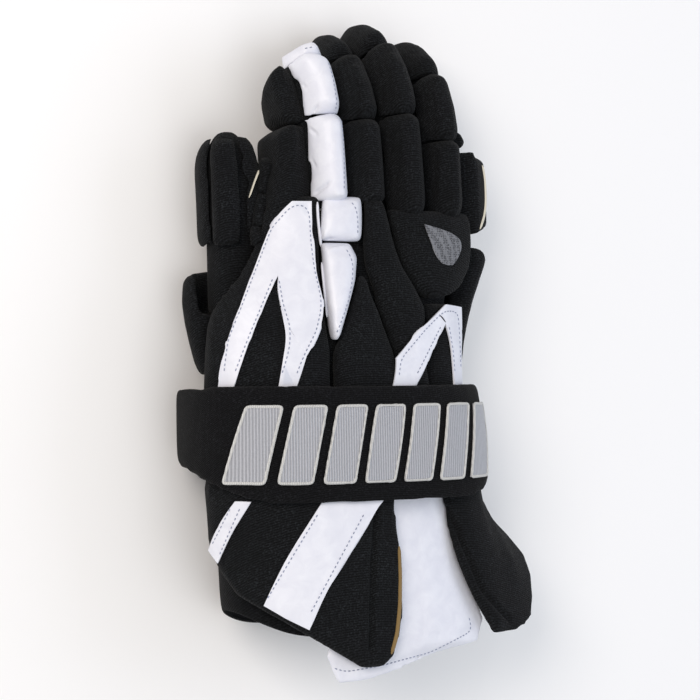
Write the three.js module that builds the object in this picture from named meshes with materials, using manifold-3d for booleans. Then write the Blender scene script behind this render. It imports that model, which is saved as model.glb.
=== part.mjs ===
// Right-hand lacrosse glove lying palm down: a hollow hand with four finger stalls and a thumb stall,
// covered on the back by separate foam pads, with a wide wrist strap and an open padded cuff.
// Millimetres. +Y points to the fingertips, +X to the little finger's side, +Z out of the hand's back.
import * as THREE from "three";
import { mergeVertices } from "three/addons/utils/BufferGeometryUtils.js";
import { TessellateModifier } from "three/addons/modifiers/TessellateModifier.js";
import Module from "manifold-3d";

const wasm = await Module();
wasm.setup();

// Driving dimensions of the hollow hand and cuff
const HAND_LENGTH = 112;
const CUFF_LENGTH = 97;
const WRIST_WIDTH = 124;
const WRIST_DEPTH = 62;
const LINER_WALL = 2.4;
const SQUARENESS = 2.5;

// Driving dimensions of the fingers
const FINGER_PITCH = 21.7;
const FINGER_WIDTH = 20;
const FINGER_DEPTH = 29;
const STALL_WALL = 2;
const THUMB_WIDTH = 24;
const THUMB_DEPTH = 23;
const THUMB_LENGTH = 88;

// Driving dimensions of the padding, overlays and strap
const SEAM_GAP = 0.4;
const LAYER_GAP = 0.8;
const LIMB_GAP = 1.1;
const SIDE_GAP = 1.3;
const STALL_SETBACK = 0.95;
const PAD_EDGE = 6;
const FINGER_PAD_RISE = 10.5;
const SIDE_ROLL_RISE = 7;
const BACK_PAD_RISE = 9;
const CUFF_PAD_RISE = 7;
const SKIN_RISE = 1.5;
const TONGUE_RISE = 2.4;
const PALM_RISE = 1.6;
const STRAP_WIDTH = 58;
const STRAP_RISE = 4.5;
const STRAP_LIFT = 11.6;
const STRAP_PALM_LIFT = 1;
const HAND_SIDE_RISE = 17;
const THUMB_BASE_RISE = 12;
const EMBROIDERY_RISE = 1;
const PAD_BREAK = 0.9;

// Floor level in the modelling frame, under the wrist strap and the fingertips
const FLOOR = 0;

// Sides and rows of the rings that the hollow pieces are built from, and the width of a pad's facets
const FORM_SIDES = 26;
const STALL_SIDES = 12;
const TUBE_ROWS = 9;
const COLUMN_WIDTH = 10;
const NARROW_COLUMN = 6.5;
const SKIN_FACET = 13;

// Shares that shape the round ends of the stalls, the pads' shoulders and their rounded edges
const TIP_START = 0.78;
const TIP_SHARE = 0.82;
const SHOULDER = 0.93;
const EDGE_SHARE = 0.3;
const LANE_WIDTH = FINGER_PITCH - SEAM_GAP;

// Hand and cuff form. Along runs from -1 at the cuff's mouth through 0 at the wrist to 1 at the
// knuckles. Middle and width are shares of the wrist's width, low and top of its depth.
const FORM_ROWS = [
  { along: -1.25, middle: 0.09, width: 1.08, low: 0.1, top: 1.2 },
  { along: -0.6, middle: 0.06, width: 1.05, low: 0.09, top: 1.13 },
  { along: 0, middle: 0.03, width: 1.04, low: 0.07, top: 1.09 },
  { along: 0.3, middle: 0.01, width: 1.0, low: 0.1, top: 1.06 },
  { along: 0.55, middle: 0.03, width: 0.98, low: 0.14, top: 1.0 },
  { along: 0.8, middle: 0.115, width: 0.9, low: 0.21, top: 0.93 },
  { along: 1, middle: 0.18, width: 0.84, low: 0.29, top: 0.87 },
];

// Fingers in their lanes. Reach is the stall's length along its middle, rise lifts its base, curl is
// the share of the full bend table that it takes, lean turns it sideways in radians, and the two
// breaks part its three pads.
const FINGERS = [
  { name: "index", lane: -0.415, reach: 75, rise: 0.02, curl: 0.42, lean: -0.07, breaks: [0.56, 0.87] },
  { name: "middle", lane: 0.585, reach: 86, rise: 0.0, curl: 0.96, lean: -0.06, breaks: [0.47, 0.74] },
  { name: "ring", lane: 1.6, reach: 96, rise: 0.03, curl: 1.0, lean: -0.07, breaks: [0.46, 0.74] },
  { name: "pinky", lane: 2.65, reach: 86, rise: 0.0, curl: 1.0, lean: -0.045, breaks: [0.39, 0.68] },
];
const FINGER_BASE_Z = 0.64 * WRIST_DEPTH;

// Thumb: where its base stands in shares of the wrist's width, the hand's length and the wrist's
// depth, how far it turns sideways in radians, and its share of the bend table
const THUMB = { across: -0.388, along: 0.55, height: 0.47, heading: -0.02, curl: 0.12 };

// Bend of a fully curled finger: the slope in degrees below level at each share of its length.
const BEND_ROWS = [
  { along: 0, slope: 0 },
  { along: 0.38, slope: 5 },
  { along: 0.6, slope: 25 },
  { along: 0.8, slope: 64 },
  { along: 1, slope: 84 },
];

// Quarter of the way round the form at the wrist
const FORM_QUARTER = (WRIST_WIDTH * Math.PI) / 8;

// Cubic reading of one column of a table at a place along it
function readTable(rows, column, at) {
  const last = rows.length - 1;
  const place = THREE.MathUtils.clamp(at, rows[0].along, rows[last].along);
  let i = 0;
  while (i < last - 1 && place > rows[i + 1].along) i += 1;
  const span = rows[i + 1].along - rows[i].along;
  const t = (place - rows[i].along) / span;
  const slopeAt = (k) => {
    const before = rows[Math.max(k - 1, 0)];
    const after = rows[Math.min(k + 1, last)];
    return ((after[column] - before[column]) / (after.along - before.along)) * span;
  };
  const here = rows[i][column];
  const next = rows[i + 1][column];
  const bend = (3 * (next - here) - 2 * slopeAt(i) - slopeAt(i + 1)) * t * t;
  const twist = (2 * (here - next) + slopeAt(i) + slopeAt(i + 1)) * t * t * t;
  return here + slopeAt(i) * t + bend + twist;
}

// Straight reading of one column, for outlines with corners
function readStraight(rows, column, at) {
  const last = rows.length - 1;
  const place = THREE.MathUtils.clamp(at, rows[0].along, rows[last].along);
  let i = 0;
  while (i < last - 1 && place > rows[i + 1].along) i += 1;
  const t = (place - rows[i].along) / (rows[i + 1].along - rows[i].along);
  return THREE.MathUtils.lerp(rows[i][column], rows[i + 1][column], t);
}

// Squared-off round: the sine or cosine of a ring with flattened sides
function squared(value) {
  return Math.sign(value) * Math.abs(value) ** (2 / SQUARENESS);
}

// Y of a place along the form
function formY(along) {
  return along * (along < 0 ? CUFF_LENGTH : HAND_LENGTH);
}

// Place along the form of a Y
function formAlong(y) {
  return y / (y < 0 ? CUFF_LENGTH : HAND_LENGTH);
}

// Place across the form at a share of its half width, measured straight across
function acrossAt(share) {
  return (2 / Math.PI) * Math.sign(share) * Math.asin(Math.abs(share) ** (SQUARENESS / 2));
}

// Point of the hand and cuff form. Across is 0 on the back's middle, -1 at the thumb's side, 1 at
// the little finger's side and 2 on the palm's middle; lift is the height over the liner.
function onForm(across, along, lift) {
  const middle = readTable(FORM_ROWS, "middle", along) * WRIST_WIDTH;
  const halfWidth = (readTable(FORM_ROWS, "width", along) * WRIST_WIDTH) / 2;
  const low = readTable(FORM_ROWS, "low", along) * WRIST_DEPTH;
  const top = readTable(FORM_ROWS, "top", along) * WRIST_DEPTH;
  const angle = (across * Math.PI) / 2;
  const x = middle + (halfWidth + lift) * squared(Math.sin(angle));
  const z = (low + top) / 2 + ((top - low) / 2 + lift) * squared(Math.cos(angle));
  return new THREE.Vector3(x, formY(along), z);
}

// Centre line of a finger or thumb: it starts ahead and bends down by its share of the bend table
class Limb {
  constructor({ name, base, heading, reach, width, depth, curl }) {
    this.name = name;
    this.width = width;
    this.depth = depth;
    this.reach = reach;
    this.curl = curl;
    this.ahead = new THREE.Vector3(Math.sin(heading), Math.cos(heading), 0);
    this.side = new THREE.Vector3(Math.cos(heading), -Math.sin(heading), 0);
    this.spine = this.walk(base);
  }

  // Slope of the limb below level, in radians
  slope(along) {
    return THREE.MathUtils.degToRad(readTable(BEND_ROWS, "slope", along) * this.curl);
  }

  // Points down the middle, in short equal steps
  walk(base) {
    const steps = 40;
    const spine = [base.clone()];
    for (let i = 0; i < steps; i += 1) {
      const slope = this.slope((i + 0.5) / steps);
      const next = spine[i].clone();
      next.addScaledVector(this.ahead, (Math.cos(slope) * this.reach) / steps);
      next.z -= (Math.sin(slope) * this.reach) / steps;
      spine.push(next);
    }
    return spine;
  }

  // Place on the middle line, which runs straight on behind the limb's base
  centre(along) {
    const place = Math.min(along, 1) * (this.spine.length - 1);
    const i = THREE.MathUtils.clamp(Math.floor(place), 0, this.spine.length - 2);
    return this.spine[i].clone().lerp(this.spine[i + 1], place - i);
  }

  // Direction out of the back of the limb
  back(along) {
    const slope = this.slope(along);
    const up = new THREE.Vector3(0, 0, Math.cos(slope));
    return up.addScaledVector(this.ahead, Math.sin(slope));
  }

  // How far the round end has drawn the section in
  taper(along) {
    const end = Math.max(0, (along - TIP_START) / (1 - TIP_START));
    return Math.sqrt(1 - TIP_SHARE * end * end);
  }

  // Point at a turn round the section: 0 on the back, -1 and 1 at its sides, 2 on the palm's side
  around(turn, along, lift) {
    const angle = (turn * Math.PI) / 2;
    const size = this.taper(along);
    const point = this.centre(along);
    point.addScaledVector(this.side, ((this.width / 2) * size + lift) * squared(Math.sin(angle)));
    const height = ((this.depth / 2) * size + lift) * squared(Math.cos(angle));
    return point.addScaledVector(this.back(along), height);
  }

  // Point over the back at a sideways place from -1 to 1 of a lane, so that neighbours stay apart
  over(lane, along, lift) {
    const size = this.taper(along);
    const half = LANE_WIDTH / 2;
    const reach = Math.min(Math.abs(lane * half) / ((this.width / 2) * size), SHOULDER);
    const height = (this.depth / 2) * size * (1 - reach ** SQUARENESS) ** (1 / SQUARENESS);
    const point = this.centre(along);
    point.addScaledVector(this.side, lane * half);
    return point.addScaledVector(this.back(along), height + lift);
  }
}

// Closed mesh through rings of equal size. A cycle of rings closes on itself, and otherwise each
// end is shut by a strip across a flat ring or by a fan to a pole.
function skin(rings, ends) {
  const size = rings[0].length;
  const points = rings.flat();
  const faces = [];
  const quad = (a, b, c, d) => faces.push(a, b, c, a, c, d);
  const spans = ends === "cycle" ? rings.length : rings.length - 1;
  for (let r = 0; r < spans; r += 1) {
    const here = r * size;
    const next = ((r + 1) % rings.length) * size;
    for (let i = 0; i < size; i += 1) {
      const j = (i + 1) % size;
      quad(here + i, here + j, next + j, next + i);
    }
  }
  const shut = (start, turned) => {
    const put = (a, b, c) => (turned ? faces.push(a, c, b) : faces.push(a, b, c));
    if (ends === "fan") {
      const pole = new THREE.Vector3();
      for (let i = 0; i < size; i += 1) pole.addScaledVector(points[start + i], 1 / size);
      points.push(pole);
      for (let i = 0; i < size; i += 1) put(points.length - 1, start + ((i + 1) % size), start + i);
      return;
    }
    for (let i = 0; i < size / 2 - 1; i += 1) {
      const far = size - 1 - i;
      put(start + i, start + far, start + i + 1);
      put(start + i + 1, start + far, start + far - 1);
    }
  };
  if (ends !== "cycle") {
    shut(0, false);
    shut((rings.length - 1) * size, true);
  }
  const geometry = new THREE.BufferGeometry();
  const flat = new Float32Array(points.length * 3);
  points.forEach((point, i) => point.toArray(flat, i * 3));
  geometry.setAttribute("position", new THREE.BufferAttribute(flat, 3));
  geometry.setIndex(faces);
  return faceOutward(geometry);
}

// Turns a closed mesh so that its faces point out
function faceOutward(geometry) {
  const at = geometry.attributes.position;
  const index = geometry.index;
  const corners = [0, 1, 2].map(() => new THREE.Vector3());
  let volume = 0;
  for (let i = 0; i < index.count; i += 3) {
    corners.forEach((corner, k) => corner.fromBufferAttribute(at, index.getX(i + k)));
    volume += corners[0].dot(corners[1].clone().cross(corners[2]));
  }
  if (volume < 0) {
    for (let i = 0; i < index.count; i += 3) {
      const first = index.getX(i);
      index.setX(i, index.getX(i + 1));
      index.setX(i + 1, first);
    }
  }
  return geometry;
}

// Places from 0 to 1 along a length in millimetres, with one more near each end of a wide round edge
function stations(length, edge, step) {
  const end = Math.min(edge / length, 0.34);
  const inner = Math.max(1, Math.round((length * (1 - 2 * end)) / step));
  const places = [0];
  for (let i = 0; i <= inner; i += 1) places.push(end + ((1 - 2 * end) * i) / inner);
  places.push(1);
  if (edge >= PAD_EDGE) {
    places.splice(1, 0, end * 0.35);
    places.splice(places.length - 1, 0, 1 - end * 0.35);
  }
  return places;
}

// Share of the full rise at a distance from a rounded edge
function edgeRise(distance, edge) {
  const near = Math.min(1, distance / edge);
  return Math.sqrt(1 - (1 - EDGE_SHARE) * (1 - near) ** 2);
}

// Pad between a left and a right edge that are read from a table of rows, laid on a surface
function pad({ rows, surface, width, length, edge, low, rise, ridge = 0, column = COLUMN_WIDTH }) {
  const start = rows[0].along;
  const end = rows[rows.length - 1].along;
  const reach = length * Math.abs(end - start);
  const widest = Math.max(...rows.map((row) => row.right - row.left)) * width;
  const columns = stations(widest, edge, column);
  const shaped = (name, along, plain) => (rows[0][name] === undefined ? plain : readTable(rows, name, along));
  const rings = stations(reach, edge, COLUMN_WIDTH).map((share) => {
    const along = THREE.MathUtils.lerp(start, end, share);
    const left = readStraight(rows, "left", along);
    const right = readStraight(rows, "right", along);
    const across = (right - left) * width;
    const endRise = edgeRise(Math.min(share, 1 - share) * reach, edge);
    const spread = shaped("flare", along, 0);
    const raised = low + shaped("raise", along, 0);
    const full = rise * shaped("crown", along, 1);
    const under = [];
    const over = [];
    for (const x of columns) {
      const side = edgeRise(Math.min(x, 1 - x) * across, Math.min(edge, across * 0.34));
      const crown = 1 - ridge * Math.abs(2 * x - 1) ** 1.2;
      const base = raised + spread * x * x;
      const place = THREE.MathUtils.lerp(left, right, x);
      under.push(surface(place, along, base));
      over.push(surface(place, along, base + full * crown * Math.min(side, endRise)));
    }
    return [...over, ...under.reverse()];
  });
  return skin(rings, "strip");
}

// Open tube or closed-tip stall from a surface, with a wall under it
function hollow({ surface, from, to, rows, sides, wall, tip = 0 }) {
  const ringAt = (along, lift) => {
    const ring = [];
    for (let i = 0; i < sides; i += 1) ring.push(surface((4 * (i + 0.5)) / sides, along, lift));
    return ring;
  };
  const outer = [];
  const inner = [];
  for (let r = 0; r <= rows; r += 1) {
    outer.push(ringAt(THREE.MathUtils.lerp(from, to, r / rows), 0));
    inner.push(ringAt(THREE.MathUtils.lerp(from, to - tip, r / rows), -wall));
  }
  return skin([...inner.reverse(), ...outer], tip ? "fan" : "cycle");
}

// Closed solid of everything inside a surface, used to cut its neighbours
function filled({ surface, from, to, rows, sides, lift }) {
  const rings = [];
  for (let r = 0; r <= rows; r += 1) {
    const ring = [];
    const along = THREE.MathUtils.lerp(from, to, r / rows);
    for (let i = 0; i < sides; i += 1) ring.push(surface((4 * (i + 0.5)) / sides, along, lift));
    rings.push(ring);
  }
  return skin(rings, "fan");
}

// Thin skin cut to a flat outline of across and along places, and laid on the form
function overlay(outline, lift, rise, facet = SKIN_FACET) {
  const corners = outline.map((place) => new THREE.Vector2(place.across * FORM_QUARTER, formY(place.along)));
  const shape = new THREE.Shape(corners);
  const flat = new THREE.ExtrudeGeometry(shape, { depth: rise, bevelEnabled: false });
  const fine = new TessellateModifier(facet, 8).modify(flat);
  fine.deleteAttribute("normal");
  fine.deleteAttribute("uv");
  const at = fine.attributes.position;
  for (let i = 0; i < at.count; i += 1) {
    const point = onForm(at.getX(i) / FORM_QUARTER, formAlong(at.getY(i)), lift + at.getZ(i));
    at.setXYZ(i, point.x, point.y, point.z);
  }
  return faceOutward(mergeVertices(fine, 1e-4));
}

// Geometry to solid and back, for cuts
function toSolid(geometry) {
  const merged = mergeVertices(geometry, 1e-4);
  const mesh = new wasm.Mesh({
    numProp: 3,
    vertProperties: merged.attributes.position.array,
    triVerts: new Uint32Array(merged.index.array),
  });
  return new wasm.Manifold(mesh);
}

function toGeometry(solid) {
  const mesh = solid.getMesh();
  const geometry = new THREE.BufferGeometry();
  geometry.setAttribute("position", new THREE.BufferAttribute(mesh.vertProperties, 3));
  geometry.setIndex(new THREE.BufferAttribute(mesh.triVerts, 1));
  return geometry;
}

// Materials
const KNIT = { color: 0x17171a, roughness: 0.95, metalness: 0 };
const WHITE = { color: 0xe6e6ea, roughness: 0.45, metalness: 0 };
const MESH_GREY = { color: 0x6d6f73, roughness: 0.8, metalness: 0 };
const EMBROIDERY = { color: 0xa9abb1, roughness: 0.4, metalness: 0 };
const PALM = { color: 0xd8d2c0, roughness: 0.85, metalness: 0 };
const LINING = { color: 0x141416, roughness: 0.98, metalness: 0 };

const glove = new THREE.Group();

function addPiece(name, geometry, finish) {
  const mesh = new THREE.Mesh(geometry, new THREE.MeshStandardMaterial(finish));
  mesh.name = name;
  glove.add(mesh);
}

// Hollow hand, cuff liner and stalls
const handTube = { surface: onForm, from: 0.01, to: 1, rows: TUBE_ROWS, sides: FORM_SIDES };
const thumb = new Limb({
  name: "thumb",
  base: new THREE.Vector3(THUMB.across * WRIST_WIDTH, THUMB.along * HAND_LENGTH, THUMB.height * WRIST_DEPTH),
  heading: THUMB.heading,
  reach: THUMB_LENGTH,
  width: THUMB_WIDTH,
  depth: THUMB_DEPTH,
  curl: THUMB.curl,
});
const aroundThumb = (turn, along, lift) => thumb.around(turn, along, lift);
const thumbTube = { surface: aroundThumb, from: 0, to: 1, rows: TUBE_ROWS, sides: STALL_SIDES };
const handShell = toSolid(hollow({ ...handTube, wall: LINER_WALL }));
const thumbHole = toSolid(filled({ ...thumbTube, to: 0.9, lift: -STALL_WALL }));
const handBulk = toSolid(filled({ ...handTube, to: 1.02, lift: SEAM_GAP }));
const thumbShell = toSolid(hollow({ ...thumbTube, wall: STALL_WALL, tip: 0.04 }));
addPiece("hand_shell", toGeometry(handShell.subtract(thumbHole)), KNIT);
const cuffTube = { surface: onForm, from: -0.96, to: 0, rows: 4, sides: FORM_SIDES };
addPiece("cuff_liner", hollow({ ...cuffTube, wall: LINER_WALL }), LINING);
addPiece("thumb_stall", toGeometry(thumbShell.subtract(handBulk)), KNIT);

const limbs = FINGERS.map((finger) => new Limb({
  name: finger.name,
  base: new THREE.Vector3(
    finger.lane * FINGER_PITCH,
    HAND_LENGTH + STALL_SETBACK,
    FINGER_BASE_Z + finger.rise * WRIST_DEPTH,
  ),
  heading: finger.lean,
  reach: finger.reach,
  width: FINGER_WIDTH,
  depth: FINGER_DEPTH,
  curl: finger.curl,
}));
for (const limb of limbs) {
  const surface = (turn, along, lift) => limb.around(turn, along, lift);
  const tube = { surface, from: 0, to: 1, rows: TUBE_ROWS, sides: STALL_SIDES };
  const stall = hollow({ ...tube, wall: STALL_WALL, tip: 0.035 });
  addPiece(`${limb.name}_stall`, stall, KNIT);
}

// Finger pads: where each starts and ends along its stall, with its crown's height as a share
const FINGER_PADS = [
  { part: "pad_1", from: 0, to: 1, crown: 1, stretch: 0 },
  { part: "pad_2", from: 1, to: 2, crown: 1, stretch: 0.5 },
  { part: "tip_pad", from: 2, to: 3, crown: 0.95, stretch: 2.4 },
];
for (const [i, limb] of limbs.entries()) {
  const white = limb.name === "index";
  const marks = [0, ...FINGERS[i].breaks, 0.995];
  const left = white ? -0.82 : -1;
  for (const piece of FINGER_PADS) {
    const surface = (lane, along, lift) => limb.over(lane, along, lift);
    const start = marks[piece.from] + PAD_BREAK / 2 / limb.reach;
    const end = marks[piece.to] - PAD_BREAK / 2 / limb.reach;
    const rows = [
      { along: start, left, right: 1, raise: 0 },
      { along: (start + end) / 2, left, right: 1, raise: piece.stretch / 3 },
      { along: end, left, right: 1, raise: piece.stretch },
    ];
    const geometry = pad({
      rows,
      surface,
      width: LANE_WIDTH / 2,
      length: limb.reach * 1.25,
      edge: 3.5,
      low: LIMB_GAP,
      rise: FINGER_PAD_RISE * piece.crown,
      ridge: 0.45,
      column: FINGER_PITCH / 5,
    });
    addPiece(`${limb.name}_${piece.part}`, geometry, white ? WHITE : KNIT);
  }
}

// Pads on the sides of the outer fingers and round the thumb, by turn round the limb
const SIDE_PADS = [
  { limb: "index", part: "side_tip", start: 0.535, end: 0.84, left: -1.5, right: -0.64, crown: 1.2 },
  { limb: "index", part: "side_roll", start: 0.025, end: 0.525, left: -1.5, right: -0.64, crown: 1.9 },
  { limb: "pinky", part: "side_tip", start: 0.37, end: 0.47, left: 0.8, right: 1.5, crown: 1.7 },
  { limb: "pinky", part: "side_roll", start: -0.13, end: 0.35, left: 0.8, right: 1.6, crown: 3.2 },
  { limb: "thumb", part: "outer_roll", start: 0.36, end: 0.97, left: -1.75, right: -0.76, crown: 0.45 },
  { limb: "thumb", part: "top_pad", start: 0.36, end: 0.95, left: -0.73, right: -0.03, crown: 0.8 },
  { limb: "thumb", part: "inner_pad", start: 0.42, end: 0.97, left: 0.0, right: 0.7, crown: 0.35 },
];
for (const piece of SIDE_PADS) {
  const limb = piece.limb === "thumb" ? thumb : limbs.find((one) => one.name === piece.limb);
  const surface = (turn, along, lift) => limb.around(turn, along, lift);
  const rows = [
    { along: piece.start, left: piece.left, right: piece.right },
    { along: piece.end, left: piece.left, right: piece.right },
  ];
  const geometry = pad({
    rows,
    surface,
    width: (limb.depth * Math.PI) / 4,
    length: limb.reach,
    edge: 4,
    low: LIMB_GAP,
    rise: SIDE_ROLL_RISE * piece.crown,
    column: NARROW_COLUMN,
  });
  const onHand = limb === thumb || piece.start < 0;
  const cut = onHand ? toGeometry(toSolid(geometry).subtract(handBulk)) : geometry;
  addPiece(`${piece.limb}_${piece.part}`, cut, KNIT);
}

// Pads on the back of the hand: left and right edges across the form, by place along it
const BACK_PADS = [
  { name: "back_panel_index", finish: KNIT, rise: BACK_PAD_RISE, rows: [
    { along: 0.16, left: -1.0, right: -0.13 },
    { along: 0.43, left: -1.0, right: -0.125 },
    { along: 0.6, left: -1.0, right: -0.18 },
    { along: 0.8, left: -0.98, right: -0.3 },
    { along: 0.995, left: -0.96, right: -0.39 },
  ] },
  { name: "index_hand_pad", finish: WHITE, rise: BACK_PAD_RISE + 2, rows: [
    { along: 0.43, left: -0.113, right: -0.095 },
    { along: 0.52, left: -0.14, right: -0.07 },
    { along: 0.6, left: -0.165, right: -0.06 },
    { along: 0.77, left: -0.26, right: -0.065 },
    { along: 0.845, left: -0.31, right: -0.14 },
  ] },
  { name: "index_knuckle_pad", finish: WHITE, rise: BACK_PAD_RISE + 2, rows: [
    { along: 0.86, left: -0.32, right: -0.09 },
    { along: 0.93, left: -0.35, right: -0.1 },
    { along: 0.995, left: -0.37, right: -0.13 },
  ] },
  { name: "back_panel_triangle", finish: KNIT, rise: BACK_PAD_RISE, rows: [
    { along: 0.16, left: -0.115, right: 0.19 },
    { along: 0.26, left: -0.11, right: 0.155 },
    { along: 0.42, left: -0.105, right: 0.1 },
    { along: 0.44, left: -0.08, right: 0.09 },
    { along: 0.52, left: -0.055, right: 0.055 },
    { along: 0.62, left: -0.045, right: 0.01 },
    { along: 0.7, left: -0.045, right: -0.025 },
  ] },
  { name: "back_panel_middle", finish: KNIT, rise: BACK_PAD_RISE, rows: [
    { along: 0.16, left: 0.205, right: 0.3 },
    { along: 0.26, left: 0.17, right: 0.3 },
    { along: 0.46, left: 0.105, right: 0.3 },
    { along: 0.61, left: 0.03, right: 0.29 },
    { along: 0.65, left: 0.015, right: 0.22 },
    { along: 0.71, left: -0.005, right: 0.145 },
    { along: 0.78, left: -0.045, right: 0.075 },
    { along: 0.86, left: -0.07, right: 0.035 },
    { along: 0.93, left: -0.08, right: 0.005 },
    { along: 0.995, left: -0.11, right: -0.025 },
  ] },
  { name: "knuckle_pad", finish: KNIT, rise: BACK_PAD_RISE + 1, rows: [
    { along: 0.62, left: 0.33, right: 0.4 },
    { along: 0.65, left: 0.25, right: 0.56 },
    { along: 0.71, left: 0.165, right: 0.7 },
    { along: 0.78, left: 0.095, right: 0.76 },
    { along: 0.86, left: 0.055, right: 0.72 },
    { along: 0.93, left: 0.025, right: 0.66 },
    { along: 0.995, left: -0.005, right: 0.6 },
  ] },
  { name: "back_panel_pinky", finish: KNIT, rise: BACK_PAD_RISE, rows: [
    { along: 0.16, left: 0.32, right: 0.76 },
    { along: 0.45, left: 0.32, right: 0.76 },
    { along: 0.6, left: 0.32, right: 0.72 },
  ] },
  { name: "hand_side_pad", finish: KNIT, rise: HAND_SIDE_RISE, rows: [
    { along: 0.28, left: 0.8, right: 1.3, crown: 0.55 },
    { along: 0.55, left: 0.8, right: 1.35, crown: 0.85 },
    { along: 0.86, left: 0.82, right: 1.3, crown: 1.2 },
  ] },
  { name: "thumb_base_pad", finish: KNIT, rise: THUMB_BASE_RISE, rows: [
    { along: 0.28, left: -1.6, right: -1.03, raise: 0, crown: 0.35 },
    { along: 0.5, left: -1.6, right: -1.03, raise: 1, crown: 0.95 },
    { along: 0.66, left: -1.55, right: -1.03, raise: 7, crown: 1.15 },
    { along: 0.74, left: -1.5, right: -1.03, raise: 10, crown: 1.2 },
  ] },
];

// Cuff pads, which lie over the tongue, with the little finger's side flared off the hand
const CUFF_PADS = [
  { name: "cuff_tongue", finish: WHITE, low: LAYER_GAP, rise: TONGUE_RISE, edge: 2, rows: [
    { along: -1.14, left: -0.17, right: -0.06, flare: 0 },
    { along: -1.07, left: -0.22, right: 0.3, flare: 1 },
    { along: -1.0, left: -0.23, right: 0.6, flare: 3 },
    { along: -0.93, left: -0.2, right: 0.64, flare: 4 },
    { along: -0.6, left: -0.1, right: 0.56, flare: 0 },
    { along: -0.16, left: -0.05, right: 0.5, flare: 0 },
  ] },
  { name: "cuff_thumb_panel", finish: KNIT, rise: CUFF_PAD_RISE, edge: 5, rows: [
    { along: -1.1, left: -0.09, right: -0.02 },
    { along: -1.03, left: -0.18, right: 0.015 },
    { along: -0.94, left: -0.32, right: 0.03 },
    { along: -0.81, left: -0.55, right: 0.05 },
    { along: -0.74, left: -0.74, right: 0.055 },
    { along: -0.6, left: -0.92, right: 0.06 },
    { along: -0.53, left: -0.98, right: 0.06 },
    { along: -0.16, left: -1.0, right: 0.06 },
  ] },
  { name: "cuff_pinky_flap", finish: KNIT, rise: CUFF_PAD_RISE, edge: 5, rows: [
    { along: -1.0, left: 0.6, right: 0.74, flare: 10, raise: 7 },
    { along: -0.94, left: 0.54, right: 0.88, flare: 18, raise: 6 },
    { along: -0.8, left: 0.47, right: 0.98, flare: 28, raise: 3 },
    { along: -0.66, left: 0.41, right: 1.03, flare: 32, raise: 1 },
    { along: -0.5, left: 0.37, right: 1.08, flare: 22, raise: 0 },
    { along: -0.31, left: 0.34, right: 1.1, flare: 4, raise: 0 },
    { along: -0.16, left: 0.34, right: 1.1, flare: 0, raise: 0 },
  ] },
];

const THUMB_CLEARANCE = LAYER_GAP + SIDE_ROLL_RISE * 0.8 + SEAM_GAP;
const thumbBulk = toSolid(filled({ ...thumbTube, lift: THUMB_CLEARANCE }));
for (const piece of BACK_PADS) {
  const onSide = Math.abs(piece.rows[0].left) > 0.7 && Math.abs(piece.rows[0].right) > 0.7;
  const geometry = pad({
    rows: piece.rows,
    surface: onForm,
    width: FORM_QUARTER,
    length: HAND_LENGTH,
    edge: PAD_EDGE,
    low: onSide ? SIDE_GAP : LAYER_GAP,
    rise: piece.rise,
    column: onSide ? NARROW_COLUMN : COLUMN_WIDTH,
  });
  const nearThumb = piece.name === "back_panel_index" || piece.name === "thumb_base_pad";
  const cut = nearThumb ? toGeometry(toSolid(geometry).subtract(thumbBulk)) : geometry;
  addPiece(piece.name, cut, piece.finish);
}
const CUFF_PANEL_LOW = LAYER_GAP + TONGUE_RISE + LAYER_GAP;
for (const piece of CUFF_PADS) {
  const geometry = pad({
    rows: piece.rows,
    surface: onForm,
    width: FORM_QUARTER,
    length: CUFF_LENGTH,
    edge: piece.edge,
    low: piece.low ?? CUFF_PANEL_LOW,
    rise: piece.rise,
  });
  addPiece(piece.name, geometry, piece.finish);
}

// Palm: one soft leather panel under the hand
addPiece("palm_panel", pad({
  rows: [
    { along: 0.32, left: 1.72, right: 2.28 },
    { along: 0.6, left: 1.5, right: 2.3 },
    { along: 0.97, left: 1.4, right: 2.6 },
  ],
  surface: onForm,
  width: FORM_QUARTER,
  length: HAND_LENGTH,
  edge: 2,
  low: LAYER_GAP,
  rise: PALM_RISE,
}), PALM);

// Wrist strap: one wide band round everything, flattened where it rests on the floor
const STRAP_EDGES = [
  { along: 0, lower: 1, upper: 1 },
  { along: 0.5, lower: 0.95, upper: 0.99 },
  { along: 0.85, lower: 0.66, upper: 0.94 },
  { along: 1.15, lower: 0.42, upper: 0.9 },
  { along: 2, lower: 0.4, upper: 0.6 },
];
function strapBand() {
  const half = STRAP_WIDTH / 2;
  const round = 0.07;
  const section = [
    { y: -1, up: 0.3 },
    { y: -1, up: 0.7 },
    { y: -1 + round, up: 1 },
    { y: 0, up: 1 },
    { y: 1 - round, up: 1 },
    { y: 1, up: 0.7 },
    { y: 1, up: 0.3 },
    { y: 1 - round, up: 0 },
    { y: 0, up: 0 },
    { y: -1 + round, up: 0 },
  ];
  const sides = FORM_SIDES + 4;
  const rings = [];
  for (let i = 0; i < sides; i += 1) {
    const across = (4 * (i + 0.5)) / sides;
    const fromBack = Math.min(across, 4 - across);
    const onBack = 1 - THREE.MathUtils.smoothstep(fromBack, 1.15, 1.7);
    const low = THREE.MathUtils.lerp(STRAP_PALM_LIFT, STRAP_LIFT, onBack);
    const lower = readTable(STRAP_EDGES, "lower", fromBack) * half;
    const upper = readTable(STRAP_EDGES, "upper", fromBack) * half;
    rings.push(section.map((corner) => {
      const y = corner.y * (corner.y < 0 ? lower : upper);
      const point = onForm(across, formAlong(y), low + corner.up * STRAP_RISE);
      point.z = Math.max(point.z, FLOOR);
      return point;
    }));
  }
  return skin(rings, "cycle");
}
addPiece("wrist_strap", strapBand(), KNIT);

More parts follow.
